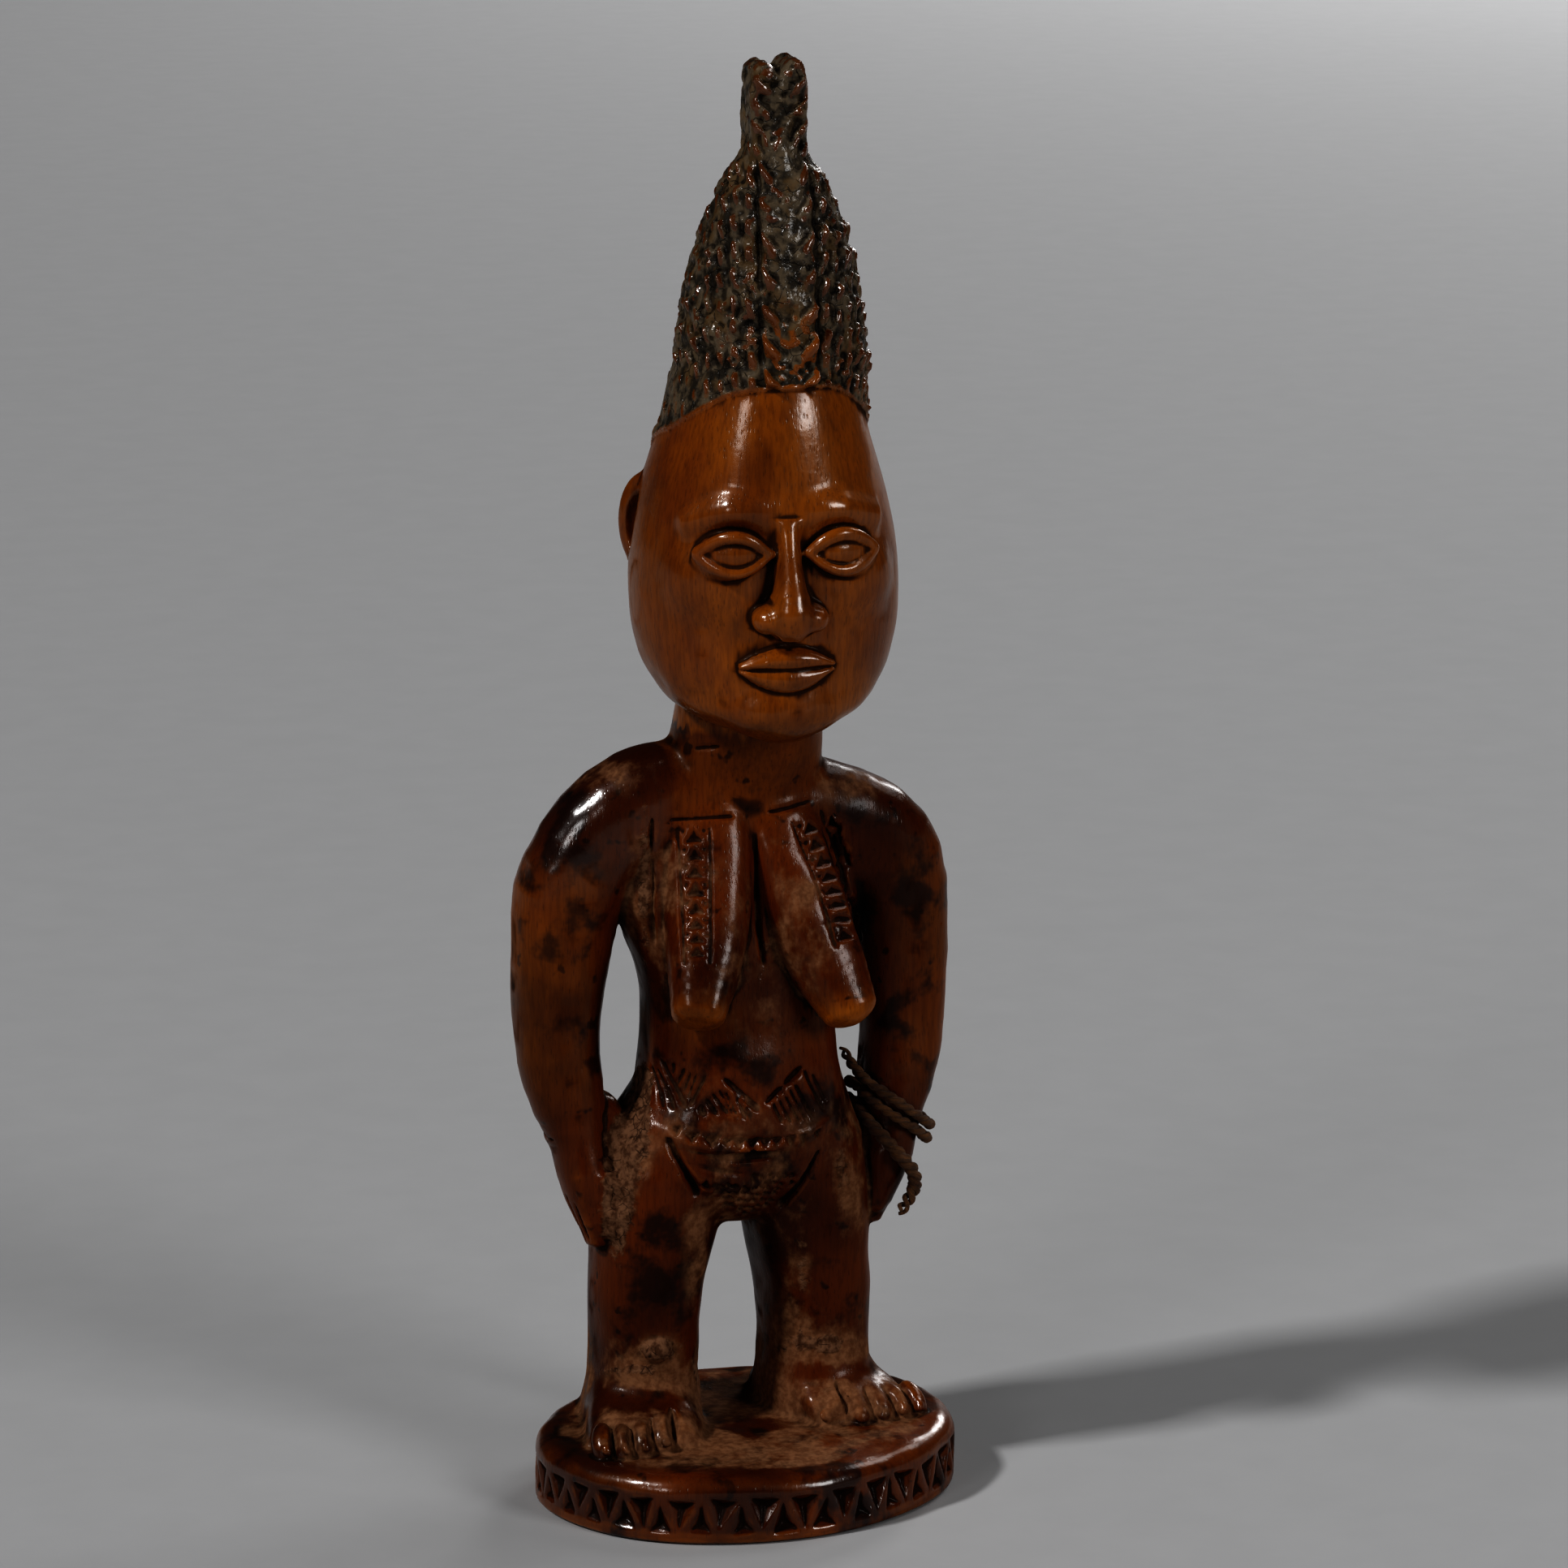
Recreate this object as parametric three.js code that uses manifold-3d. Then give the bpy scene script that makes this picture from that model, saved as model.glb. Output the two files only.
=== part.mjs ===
// A standing twin figure carved from one block of wood, with a loose cord round its left wrist.
// Millimetres, +Z up. The figure faces -Y, its own left side is +X, and the origin is the middle of
// the underside of its round base.
import * as THREE from "three";
import { mergeVertices } from "three/addons/utils/BufferGeometryUtils.js";
import Module from "manifold-3d";

const wasm = await Module();
wasm.setup();

// Driving dimensions.
const FIGURE_HEIGHT = 267; // soles to the top of the coiffure
const BASE_HEIGHT = 13;
const BASE_WIDTH = 85;
const BASE_DEPTH = 71;
const RIM_RADIUS = 3.4; // the worn top edge of the base
const BAND_HEIGHT = 7; // the carved band round the base
const BAND_FROM_GROUND = 2; // the plain strip below the band
const NOTCH_PITCH = 7.6; // from one hanging triangle of the band to the next
const NOTCH_DEPTH = 1.3;
const CORD_DIAMETER = 2;

// The figure's proportions are shares of its height: one unit is 1 mm on the real figure.
const UNIT = FIGURE_HEIGHT / 267;
const HEAD_TURN = THREE.MathUtils.degToRad(-7); // towards the figure's right shoulder
const BASE_TURN = THREE.MathUtils.degToRad(8); // the oval base's long axis, from the left-right line
const HEAD_X = 1.9;
const HEAD_Y = -7;
const SIDES = [-1, 1]; // the figure's right, then its left

const BACK = new THREE.Vector3(0, 1, 0);
const UP = new THREE.Vector3(0, 0, 1);

// Manifold solid of a closed geometry.
function solidOf(geometry) {
  const bare = new THREE.BufferGeometry();
  bare.setAttribute("position", geometry.getAttribute("position"));
  bare.setIndex(geometry.getIndex());
  const merged = mergeVertices(bare, 1e-4);
  const mesh = new wasm.Mesh({
    numProp: 3,
    vertProperties: new Float32Array(merged.getAttribute("position").array),
    triVerts: new Uint32Array(merged.getIndex().array),
  });
  return new wasm.Manifold(mesh);
}

function geometryOf(solid) {
  const mesh = solid.getMesh();
  const geometry = new THREE.BufferGeometry();
  geometry.setAttribute("position", new THREE.BufferAttribute(mesh.vertProperties, 3));
  geometry.setIndex(new THREE.BufferAttribute(mesh.triVerts, 1));
  return geometry;
}

function joined(solids) {
  return solids.reduce((sum, solid) => sum.add(solid));
}

function cutBy(body, tools) {
  return tools.length ? body.subtract(joined(tools)) : body;
}

// A closed skin of rings. place(turn, rise, reach) gives a point: turn is the angle round the skin,
// rise the share of the way along it, and reach 0 at the middle of an end and 1 on the skin.
function closedSkin(columns, rows, place) {
  const skin = new THREE.CylinderGeometry(1, 1, 1, columns, rows);
  skin.rotateX(Math.PI / 2);
  const points = skin.getAttribute("position");
  for (let i = 0; i < points.count; i += 1) {
    const x = points.getX(i);
    const y = points.getY(i);
    const rise = Math.round((points.getZ(i) + 0.5) * rows) / rows;
    const reach = Math.hypot(x, y) > 0.5 ? 1 : 0;
    const point = place(Math.atan2(y, x), rise, reach);
    points.setXYZ(i, point.x, point.y, point.z);
  }
  return skin;
}

// Turns the diagonal of every second square of a skin, so that the raised points of a chequered
// skin become separate knobs and not ridges.
function turnDiagonals(skin, columns, rows) {
  const index = skin.getIndex();
  for (let column = 0; column < columns; column += 1) {
    for (let row = 0; row < rows; row += 1) {
      if ((column + row) % 2 === 0) continue;
      const first = (column * rows + row) * 6;
      const [a, b, d, , c] = [0, 1, 2, 3, 4].map((k) => index.getX(first + k));
      [a, b, c, a, c, d].forEach((corner, k) => index.setX(first + k, corner));
    }
  }
  return skin;
}

// Smooth values through a few keys. Each key starts with x, y, z, and the run's share follows the
// distance between the keys.
function smoothRun(keys) {
  const distances = [0];
  for (let i = 1; i < keys.length; i += 1) {
    const step = Math.hypot(...[0, 1, 2].map((k) => keys[i][k] - keys[i - 1][k]));
    distances.push(distances[i - 1] + step);
  }
  const run = new THREE.CubicInterpolant(distances, keys.flat(), keys[0].length);
  return (share) => [...run.evaluate(share * distances[distances.length - 1])];
}

// A limb or body lofted through keys of x, y, z, half width, near half depth and far half depth,
// in units. far is the direction that the far half depth points in. A round end is a quarter
// ellipse beyond the first or last key. square is 2 for an oval section and more for a boxy one.
function loft(keys, { far = BACK, square = 2, startRound = 0, endRound = 0, shift = 0 } = {}) {
  const run = smoothRun(keys);
  const step = 0.01;
  const capShare = 0.15; // the share of the rings that each round end takes
  const bodyStart = startRound > 0 ? capShare : 0;
  const bodyShare = 1 - bodyStart - (endRound > 0 ? capShare : 0);

  function station(rise) {
    const share = THREE.MathUtils.clamp((rise - bodyStart) / bodyShare, 0, 1);
    const values = run(share);
    const ahead = run(Math.min(share + step, 1));
    const behind = run(Math.max(share - step, 0));
    const along = new THREE.Vector3(
      ahead[0] - behind[0],
      ahead[1] - behind[1],
      ahead[2] - behind[2],
    ).normalize();
    const right = new THREE.Vector3().crossVectors(far, along).normalize();
    const deep = new THREE.Vector3().crossVectors(along, right);
    const beyondStart = Math.max(bodyStart - rise, 0) / capShare;
    const beyondEnd = Math.max(rise - bodyStart - bodyShare, 0) / capShare;
    const curl = (Math.max(beyondStart, beyondEnd) * Math.PI) / 2;
    const push = Math.sin(curl) * (beyondStart > 0 ? -startRound : endRound);
    const centre = new THREE.Vector3(values[0], values[1], values[2]).addScaledVector(along, push);
    const shrink = Math.max(Math.cos(curl), 0.12);
    return { centre, right, deep, shrink, values };
  }

  function place(turn, rise, reach) {
    const { centre, right, deep, shrink, values } = station(rise);
    const cos = Math.cos(turn);
    const sin = Math.sin(turn);
    const across = Math.sign(cos) * Math.abs(cos) ** (2 / square) * values[3];
    const depth = Math.sign(sin) * Math.abs(sin) ** (2 / square) * values[sin < 0 ? 4 : 5];
    return centre
      .clone()
      .addScaledVector(right, across * reach * shrink)
      .addScaledVector(deep, depth * reach * shrink)
      .add(new THREE.Vector3(shift, 0, 0))
      .multiplyScalar(UNIT);
  }

  return { place, solid: (columns, rows) => solidOf(closedSkin(columns, rows, place)) };
}

// An ellipsoid at a place, in units, turned about the vertical.
function pebble(x, y, z, wide, deep, high, { turn = 0, columns = 10, rows = 8 } = {}) {
  const ball = new THREE.SphereGeometry(1, columns, rows);
  ball.rotateX(Math.PI / 2);
  ball.scale(wide, deep, high);
  ball.rotateZ(turn);
  ball.translate(x, y, z);
  ball.scale(UNIT, UNIT, UNIT);
  return ball;
}

// A pyramid that cuts inwards from a surface point, with three sides for a triangle that points
// along, or four for a stroke that runs along. Sizes are in millimetres.
function gouge(point, inward, along, length, width, depth, sides) {
  const lift = 0.35; // the pyramid's foot stands this far outside the surface
  const pyramid = new THREE.ConeGeometry(1, 1, sides, 1, false, Math.PI / 2);
  const reach = sides === 3 ? 1.5 : 2;
  const spread = sides === 3 ? Math.sqrt(3) : 2;
  const inwards = inward.clone().normalize();
  const across = new THREE.Vector3().crossVectors(along, inwards).normalize();
  const ahead = new THREE.Vector3().crossVectors(inwards, across);
  const whole = depth + lift;
  const frame = new THREE.Matrix4().makeBasis(
    ahead.multiplyScalar(length / reach),
    inwards.clone().multiplyScalar(whole),
    across.multiplyScalar(width / spread),
  );
  frame.setPosition(point.clone().addScaledVector(inwards, whole / 2 - lift));
  return solidOf(pyramid.applyMatrix4(frame));
}

// The base: a low oval block with a worn top edge and a band of triangles cut in its side.
function makeBase() {
  const radius = BASE_WIDTH / 2;
  const footEase = 0.5;
  const dome = 0.6;
  const profile = [new THREE.Vector2(0, 0), new THREE.Vector2(radius - footEase, 0)];
  profile.push(new THREE.Vector2(radius, footEase));
  const steps = 2;
  for (let i = 0; i <= steps; i += 1) {
    const angle = (i / steps) * (Math.PI / 2);
    const out = radius - RIM_RADIUS + RIM_RADIUS * Math.cos(angle);
    profile.push(new THREE.Vector2(out, BASE_HEIGHT - RIM_RADIUS + RIM_RADIUS * Math.sin(angle)));
  }
  profile.push(new THREE.Vector2(0, BASE_HEIGHT + dome));
  const perimeter = Math.PI * (BASE_WIDTH + BASE_DEPTH) * 0.5;
  const count = Math.round(perimeter / NOTCH_PITCH);
  const block = new THREE.LatheGeometry(profile, count);
  block.rotateX(Math.PI / 2);
  block.scale(1, BASE_DEPTH / BASE_WIDTH, 1);

  const width = (perimeter / count) * 0.8;
  const length = BAND_HEIGHT * 0.82;
  const notches = [];
  for (let i = 0; i < count * 2; i += 1) {
    const angle = ((i + 1) / count) * Math.PI;
    const hangs = i % 2 === 0;
    const foot = hangs ? BAND_FROM_GROUND + BAND_HEIGHT : BAND_FROM_GROUND;
    const middle = foot + (hangs ? -length / 3 : length / 3);
    const point = new THREE.Vector3(
      (BASE_WIDTH / 2) * Math.cos(angle),
      (BASE_DEPTH / 2) * Math.sin(angle),
      middle,
    );
    const inward = new THREE.Vector3(-Math.cos(angle) / BASE_WIDTH, -Math.sin(angle) / BASE_DEPTH, 0);
    const points = UP.clone().multiplyScalar(hangs ? -1 : 1);
    notches.push(gouge(point, inward, points, length, width, NOTCH_DEPTH, 3));
  }
  return cutBy(solidOf(block), notches).rotate([0, 0, THREE.MathUtils.radToDeg(BASE_TURN)]);
}

// The trunk from crotch to neck.
const trunkKeys = [
  [-1.6, 5, 40.6, 13.4, 9.8, 12.4],
  [-1.6, 4, 48, 22.6, 14.5, 18],
  [-1.4, 4, 55, 26, 17.2, 20.5],
  [-1, 4, 61, 23.4, 18.1, 18.8],
  [0.1, 4, 68, 20.2, 17.8, 15.6],
  [0, 4, 74, 19.2, 16.9, 14],
  [0, 4, 82, 19, 15, 13],
  [0, 4, 91, 20, 14, 13.3],
  [0, 4, 98, 22.6, 13.6, 14.2],
  [-0.4, 4, 107, 25, 13, 15.2],
  [-0.5, 4, 117, 22, 11.8, 15.2],
  [-0.3, 3.4, 126, 17.4, 11, 14],
  [0.6, 1.6, 134, 14.7, 12, 13.2],
  [1.4, -2, 148, 14, 12, 11],
];
const TRUNK_SQUARE = 2.3;
const trunk = loft(trunkKeys, { square: TRUNK_SQUARE, startRound: 1.2 });

// The trunk's front surface at a place across and a height, both in units.
function onTrunk(x, z) {
  let low = 0;
  let high = 1;
  const halvings = 24;
  for (let i = 0; i < halvings; i += 1) {
    const middle = (low + high) / 2;
    if (trunk.place(0, middle, 0).z < z * UNIT) low = middle;
    else high = middle;
  }
  const centre = trunk.place(0, low, 0);
  const half = trunk.place(0, low, 1).x - centre.x;
  const share = THREE.MathUtils.clamp((x * UNIT - centre.x) / half, -0.98, 0.98);
  const cos = Math.sign(share) * Math.abs(share) ** (TRUNK_SQUARE / 2);
  const point = trunk.place(-Math.acos(cos), low, 1);
  return { point, inward: centre.sub(point).setZ(0).normalize() };
}

// One leg, from the hip down to the base. Its inner side slopes, so that the legs part in a narrow
// arch.
function makeLeg(side) {
  const middle = -1.6;
  const out = side < 0 ? 0.8 : 1.1;
  const keys = [
    [11.6, 4.4, 60, 7, 8, 9],
    [13.4, 4.6, 54, 11.6, 14.4, 17.6],
    [14.2, 4.8, 48, 12.7, 15.2, 18],
    [14.7 + out * 0.5, 5, 42, 12.5, 14.6, 16],
    [15.4 + out * 0.4, 5, 34, 11.5, 13.6, 13.6],
    [16.3 + out * 0.7, 5, 25, 10.8, 12.6, 12.2],
    [16.4 + out, 5.4, 14, 10.4, 12, 11.6],
    [16.5 + out, 5, 5, 10.8, 13, 12],
    [16.5 + out, 4.5, -1.5, 11.2, 14, 12.5],
  ].map(([x, ...rest]) => [middle + side * x, ...rest]);
  return loft(keys, { square: 2.4 }).solid(12, 8);
}

// One foot with five toes and a flat sole sunk a little into the base.
function makeFoot(side) {
  const heelX = -1.5 + side * 16.8;
  const toeX = side < 0 ? -24 : 19.6;
  const toeY = side < 0 ? -23 : -17.6;
  const sunk = -1.5;
  const strides = [
    [0, 9.6, 8],
    [0.33, 11, 13],
    [0.62, 11.4, 12.2],
    [0.82, 11.5, 8.2],
    [1, 11.2, 5.4],
  ];
  const keys = strides.map(([share, wide, high]) => [
    THREE.MathUtils.lerp(heelX, toeX, share ** 1.5),
    THREE.MathUtils.lerp(17, toeY + 2.5, share),
    sunk,
    wide,
    1,
    high,
  ]);
  const block = loft(keys, { far: UP, square: 2.8, startRound: 3, endRound: 2 }).solid(10, 6);
  const toes = [];
  const heading = Math.atan2(toeX - heelX, 17 - toeY);
  for (let i = 0; i < 5; i += 1) {
    const across = (i - 2) * 4.3;
    const big = side < 0 ? i / 4 : 1 - i / 4;
    const length = 4.4 + 1.4 * big;
    const x = toeX + across * Math.cos(heading);
    const y = toeY + across * Math.sin(heading) + 1 + Math.abs(i - 2) * 0.5 - big * 0.8;
    const toe = pebble(x, y, 1.6, 2 + 0.35 * big, length, 2.5, { turn: heading, columns: 5, rows: 4 });
    toes.push(solidOf(toe));
  }
  return joined([block, ...toes]);
}

// One arm and its hand, from inside the shoulder down the side of the thigh.
function makeArm(side) {
  const keys = [
    [5, 3, 124.5, 10.8, 10, 11.5],
    [17, 3.5, 122.6, 10.8, 9.6, 11],
    [26, 4.2, 116.6, 10.9, 9.2, 10.5],
    [31.4, 5, 108, 10.6, 9, 10],
    [33.5, 6, 96, 9.8, 9, 9.4],
    [34.3, 6.5, 84, 8.6, 9, 9],
    [34, 6, 73, 8.1, 8.6, 8.6],
    [32.6, 4.5, 64, 7.2, 8, 8],
  ];
  // The hands taper to their tips. The right one is the narrower.
  const rightHand = [
    [31.6, 3, 57, 5, 7, 7],
    [31, 2, 51, 4.2, 6.8, 6.6],
    [29.7, 1, 44, 3.3, 5.2, 5.2],
    [28.8, 0.4, 38.6, 2, 3.2, 3.4],
  ];
  const leftHand = [
    [30.6, 3, 57, 5.6, 7.4, 7.4],
    [29.5, 2, 51, 5.1, 7.9, 7.8],
    [27.4, 1.4, 44, 4.1, 6.4, 6.6],
    [25.9, 1, 38.6, 2.5, 4.2, 4.4],
  ];
  keys.push(...(side > 0 ? leftHand : rightHand));
  const out = side > 0 ? 0 : -1;
  // The left shoulder falls away faster than the right one.
  const slope = side > 0 ? [2.8, 4.6, 2.6, 0.8] : [-0.6, -0.6, -0.6, -0.3];
  const sided = keys.map(([x, y, z, ...rest], i) => [side * x, y, z - (slope[i] ?? 0), ...rest]);
  const arm = loft(sided, { square: 2.4, endRound: 1.6, shift: out }).solid(12, 11);
  const thumbKeys = [
    [27.8, -2.6, 52, 1.9, 1.9, 1.9],
    [27, -3.8, 46, 1.7, 1.7, 1.7],
    [26.2, -4, 41.4, 1.2, 1.2, 1.2],
  ].map(([x, ...rest]) => [side * x, ...rest]);
  const thumb = loft(thumbKeys, { endRound: 1, shift: out }).solid(6, 4);
  const webZ = side > 0 ? 48.5 : 55;
  const web = solidOf(pebble(side * 25.4 + out, 5, webZ, 5, 7, 11.5, { columns: 7, rows: 5 }));
  const grooves = [];
  for (let i = 0; i < 3; i += 1) {
    const y = -2.2 + i * 3.1;
    const point = new THREE.Vector3(side * 32.2 + out * 0.6, y * 0.7, 42.5).multiplyScalar(UNIT);
    const inward = new THREE.Vector3(-side, 0, 0.1);
    const down = new THREE.Vector3(side * -0.35, -0.1, -1).normalize();
    grooves.push(gouge(point, inward, down, 11 * UNIT, 1.3 * UNIT, 1.4 * UNIT, 3));
  }
  return cutBy(joined([arm, web, thumb]), grooves);
}

// One breast: a long ridged cone that hangs from the collar step, with a notched strip down it.
function makeBreast(side) {
  const [top, upper, lower, tip] = side < 0 ? [-8, -8.6, -10.4, -13.4] : [4.8, 6.6, 10.8, 16];
  const bulge = side < 0 ? 9 : 8.8;
  const low = side < 0 ? 86.4 : 84.8;
  const keys = [
    [top, 0.6, 123.5, 6.8, 6.6, 7],
    [upper, -3.4, 112, bulge, 7, 8],
    [lower, -8.4, 99, bulge, 7.2, 9],
    [tip, -15.2, low, 6, 5.8, 6.4],
  ];
  const form = loft(keys, { square: 2.7, endRound: 3.2 });
  const notches = [];
  const rungs = 7;
  const stripTurn = -Math.PI / 2 + (side < 0 ? 0.28 : -0.42);
  for (let i = 0; i < rungs; i += 1) {
    const share = 0.05 + (0.66 * (i + 0.5)) / rungs;
    const point = form.place(stripTurn, share, 1);
    const next = form.place(stripTurn, share + 0.05, 1);
    const inward = form.place(stripTurn, share, 0).sub(point);
    const along = next.sub(point).multiplyScalar(i % 2 ? 1 : -1).normalize();
    notches.push(gouge(point, inward, along, 3.4 * UNIT, 4.6 * UNIT, 1 * UNIT, 3));
  }
  return { solid: form.solid(10, 7), notches };
}

// The raised belt edge: its height at the hips, its drop at the middle, and its thickness.
const BELT_Z = 62.6;
const BELT_SAG = 4.2;
const BELT_THICK = 1.5;

// The carved belt over the belly: slanted strokes above it and a row of triangles along it.
function bellyCuts() {
  const cuts = [];
  const bellyX = -3;
  const half = 17.5;
  const strokes = 10;
  for (let i = 0; i < strokes; i += 1) {
    const offset = -half + (2 * half * (i + 0.5)) / strokes;
    const slant = offset < -4 || offset > 5 ? -0.4 * Math.sign(offset) : 0.9;
    const along = new THREE.Vector3(slant, 0, -1).normalize();
    const { point, inward } = onTrunk(bellyX + offset, 70);
    cuts.push(gouge(point, inward, along, 9 * UNIT, 1.9 * UNIT, 1.1 * UNIT, 4));
  }
  const triangles = 10;
  for (let i = 0; i < triangles; i += 1) {
    const offset = -half + (2 * half * (i + 0.5)) / triangles;
    const z = BELT_Z - BELT_THICK - 1.7 - BELT_SAG * (1 - (offset / half) ** 2);
    const { point, inward } = onTrunk(bellyX + offset, z);
    const along = UP.clone().multiplyScalar(i % 2 ? 1 : -1);
    cuts.push(gouge(point, inward, along, 2.8 * UNIT, 3 * UNIT, 1 * UNIT, 3));
  }
  return cuts;
}

// The raised belt edge and the crescent under it.
function makeBelt() {
  const rolls = [];
  for (const [z, sag, reach, thick] of [[BELT_Z, BELT_SAG, 19.5, BELT_THICK], [BELT_Z - 8.1, 3.4, 13.5, 2.2]]) {
    const keys = [];
    for (let i = 0; i <= 6; i += 1) {
      const share = i / 3 - 1;
      const x = share * reach;
      const y = -14.1 + 17 * (1 - Math.sqrt(1 - (x / 22.5) ** 2));
      keys.push([-2.4 + x, y, z - sag * (1 - share * share), thick, 1, 3]);
    }
    rolls.push(loft(keys, { startRound: 1, endRound: 1 }).solid(5, 8));
  }
  return rolls;
}

// The head stands forward on the neck and turns a little. Its parts are made about its own axis.
const headFrame = new THREE.Matrix4()
  .makeTranslation(HEAD_X * UNIT, HEAD_Y * UNIT, 0)
  .multiply(new THREE.Matrix4().makeRotationZ(HEAD_TURN));

function onHead(geometry) {
  return solidOf(geometry.applyMatrix4(headFrame));
}

// Heights of the face by thirds of the height from chin to hairline.
const CHIN_Z = 141;
const HAIRLINE_Z = 206;
const FACE_THIRD = (HAIRLINE_Z - CHIN_Z) / 3;
const BROW_Z = HAIRLINE_Z - FACE_THIRD;
const NOSE_Z = CHIN_Z + FACE_THIRD;
const MOUTH_Z = NOSE_Z - FACE_THIRD / 3;
const HEAD_HALF = 25.4;
const EYE_WIDTH = (HEAD_HALF * 2) / 5;
const EYE_Z = BROW_Z - FACE_THIRD / 3;

const skullKeys = [
  [0, -5, CHIN_Z, 9.5, 15.5, 9],
  [0, -3, 145, 17.6, 21, 14],
  [0, -1, 150, 21.8, 23.4, 17],
  [0, 0, 157, 24.4, 24.2, 21],
  [0, 0, 166, HEAD_HALF, 24.4, 25],
  [0, 0, 177, 24.6, 24.2, 26.6],
  [0, 0, 187, 22.8, 24.6, 26.6],
  [0, 0, 196, 20.6, 23.8, 25.4],
  [0, 0, 204, 18.6, 21.9, 23],
  [0, 0, 212, 16, 19.4, 20],
];

function makeHead() {
  const skullForm = loft(skullKeys, { square: 2.15, startRound: 1.4 });
  const skull = onHead(closedSkin(18, 12, skullForm.place));
  const parts = [];
  const sockets = [];
  const nostrils = [];
  const faceY = -25;
  for (const side of SIDES) {
    const eyeX = side * EYE_WIDTH;
    const turn = side * 0.42;
    const eyeY = faceY + 2.2;
    const socket = pebble(eyeX, eyeY - 3.6, EYE_Z, EYE_WIDTH * 0.72, 4, 5.6, { turn, columns: 7, rows: 5 });
    const eyeball = pebble(eyeX, eyeY + 0.6, EYE_Z, EYE_WIDTH * 0.6, 4, 4.1, { turn, columns: 8, rows: 5 });
    sockets.push(onHead(socket));
    parts.push(onHead(eyeball));
    const lids = [];
    for (const [rise, thick] of [[3.3, 0.95], [-3.1, 0.8]]) {
      const lidKeys = [];
      for (let i = 0; i <= 4; i += 1) {
        const share = i / 2 - 1;
        const x = side * (EYE_WIDTH + share * EYE_WIDTH * 0.62);
        const y = eyeY - 2.6 + 1.9 * share * share + 1.7 * share;
        lidKeys.push([x, y, EYE_Z + rise * (1 - share * share), thick, 1, 1.6]);
      }
      lids.push(loft(lidKeys, { startRound: 0.8, endRound: 0.8 }));
    }
    for (const lid of lids) parts.push(onHead(closedSkin(4, 5, lid.place)));
    parts.push(onHead(pebble(side * 5.2, faceY - 2.6, NOSE_Z + 2.6, 3.2, 3.8, 3, { columns: 6, rows: 4 })));
    nostrils.push(onHead(pebble(side * 4, faceY - 4.2, NOSE_Z - 0.2, 1.3, 2, 1.2, { columns: 5, rows: 4 })));
    parts.push(...makeEar(side));
  }
  const noseKeys = [
    [0, faceY + 2.4, BROW_Z - 1.5, 2.6, 3.4, 2],
    [0, faceY + 1.4, EYE_Z, 2.5, 4.2, 3],
    [0, faceY - 0.4, NOSE_Z + 8, 3.2, 5, 3],
    [0, faceY - 1, NOSE_Z + 3, 4.2, 6.8, 4],
    [0, faceY, NOSE_Z + 0.6, 3.6, 5.2, 4],
  ];
  parts.push(onHead(closedSkin(6, 6, loft(noseKeys, { square: 2.2, endRound: 1 }).place)));
  for (const [rise, thick, out] of [[1.5, 1.6, 2.4], [-1.9, 1.9, 2.2]]) {
    const lipKeys = [];
    for (let i = 0; i <= 4; i += 1) {
      const share = i / 2 - 1;
      const middle = 1 - share * share;
      const y = faceY + 3 - 1.8 * middle;
      lipKeys.push([share * 8.2, y, MOUTH_Z + rise * (0.35 + 0.65 * middle), 0.5 + thick * middle, out, 5]);
    }
    parts.push(onHead(closedSkin(5, 6, loft(lipKeys, { startRound: 0.5, endRound: 0.5 }).place)));
  }
  parts.push(onHead(pebble(0, -18.6, CHIN_Z + 5.8, 10.5, 6.4, 6, { columns: 7, rows: 5 })));
  return cutBy(cutBy(skull, sockets).add(joined(parts)), nostrils);
}

// One ear: a hollowed shell that stands out from the side of the head.
function makeEar(side) {
  const turn = side * 0.35;
  const shell = onHead(pebble(side * 20.6, 8, EYE_Z + 0.6, 5.6, 3, 9.6, { turn, columns: 7, rows: 5 }));
  const hollow = onHead(pebble(side * 23.2, 5.5, EYE_Z + 1.4, 3.2, 2.8, 6.6, { turn, columns: 6, rows: 4 }));
  return [shell.subtract(hollow)];
}

// The coiffure: a tall cone, narrow from the front, whose skin is a lattice of knobs, with a band
// up the front that ends in a two-lobed crest block.
const hairKeys = [
  [1.6, 0, 178, 20.8, 26.6, 27.4],
  [1.9, 0, 195, 18.9, 24.8, 26.6],
  [1.6, 0, 203, 18.6, 23.2, 24.6],
  [1.1, 0, 214.6, 17.6, 21.2, 21.4],
  [1.2, 0, 226, 15.9, 18.9, 16.8],
  [1.3, -0.6, 237.4, 11.8, 15.2, 11.6],
  [1.4, -1.4, 245, 8.2, 12.2, 8.2],
  [1.5, -2, 250, 5.6, 9.8, 6],
  [1.5, -2.2, 258, 4.6, 7.2, 5.2],
];
const BLOCK_HALF = 5.5;
const BLOCK_X = 1.6;
const BLOCK_FRONT = -9.4;
const BLOCK_DEPTH = 13.6;

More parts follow.
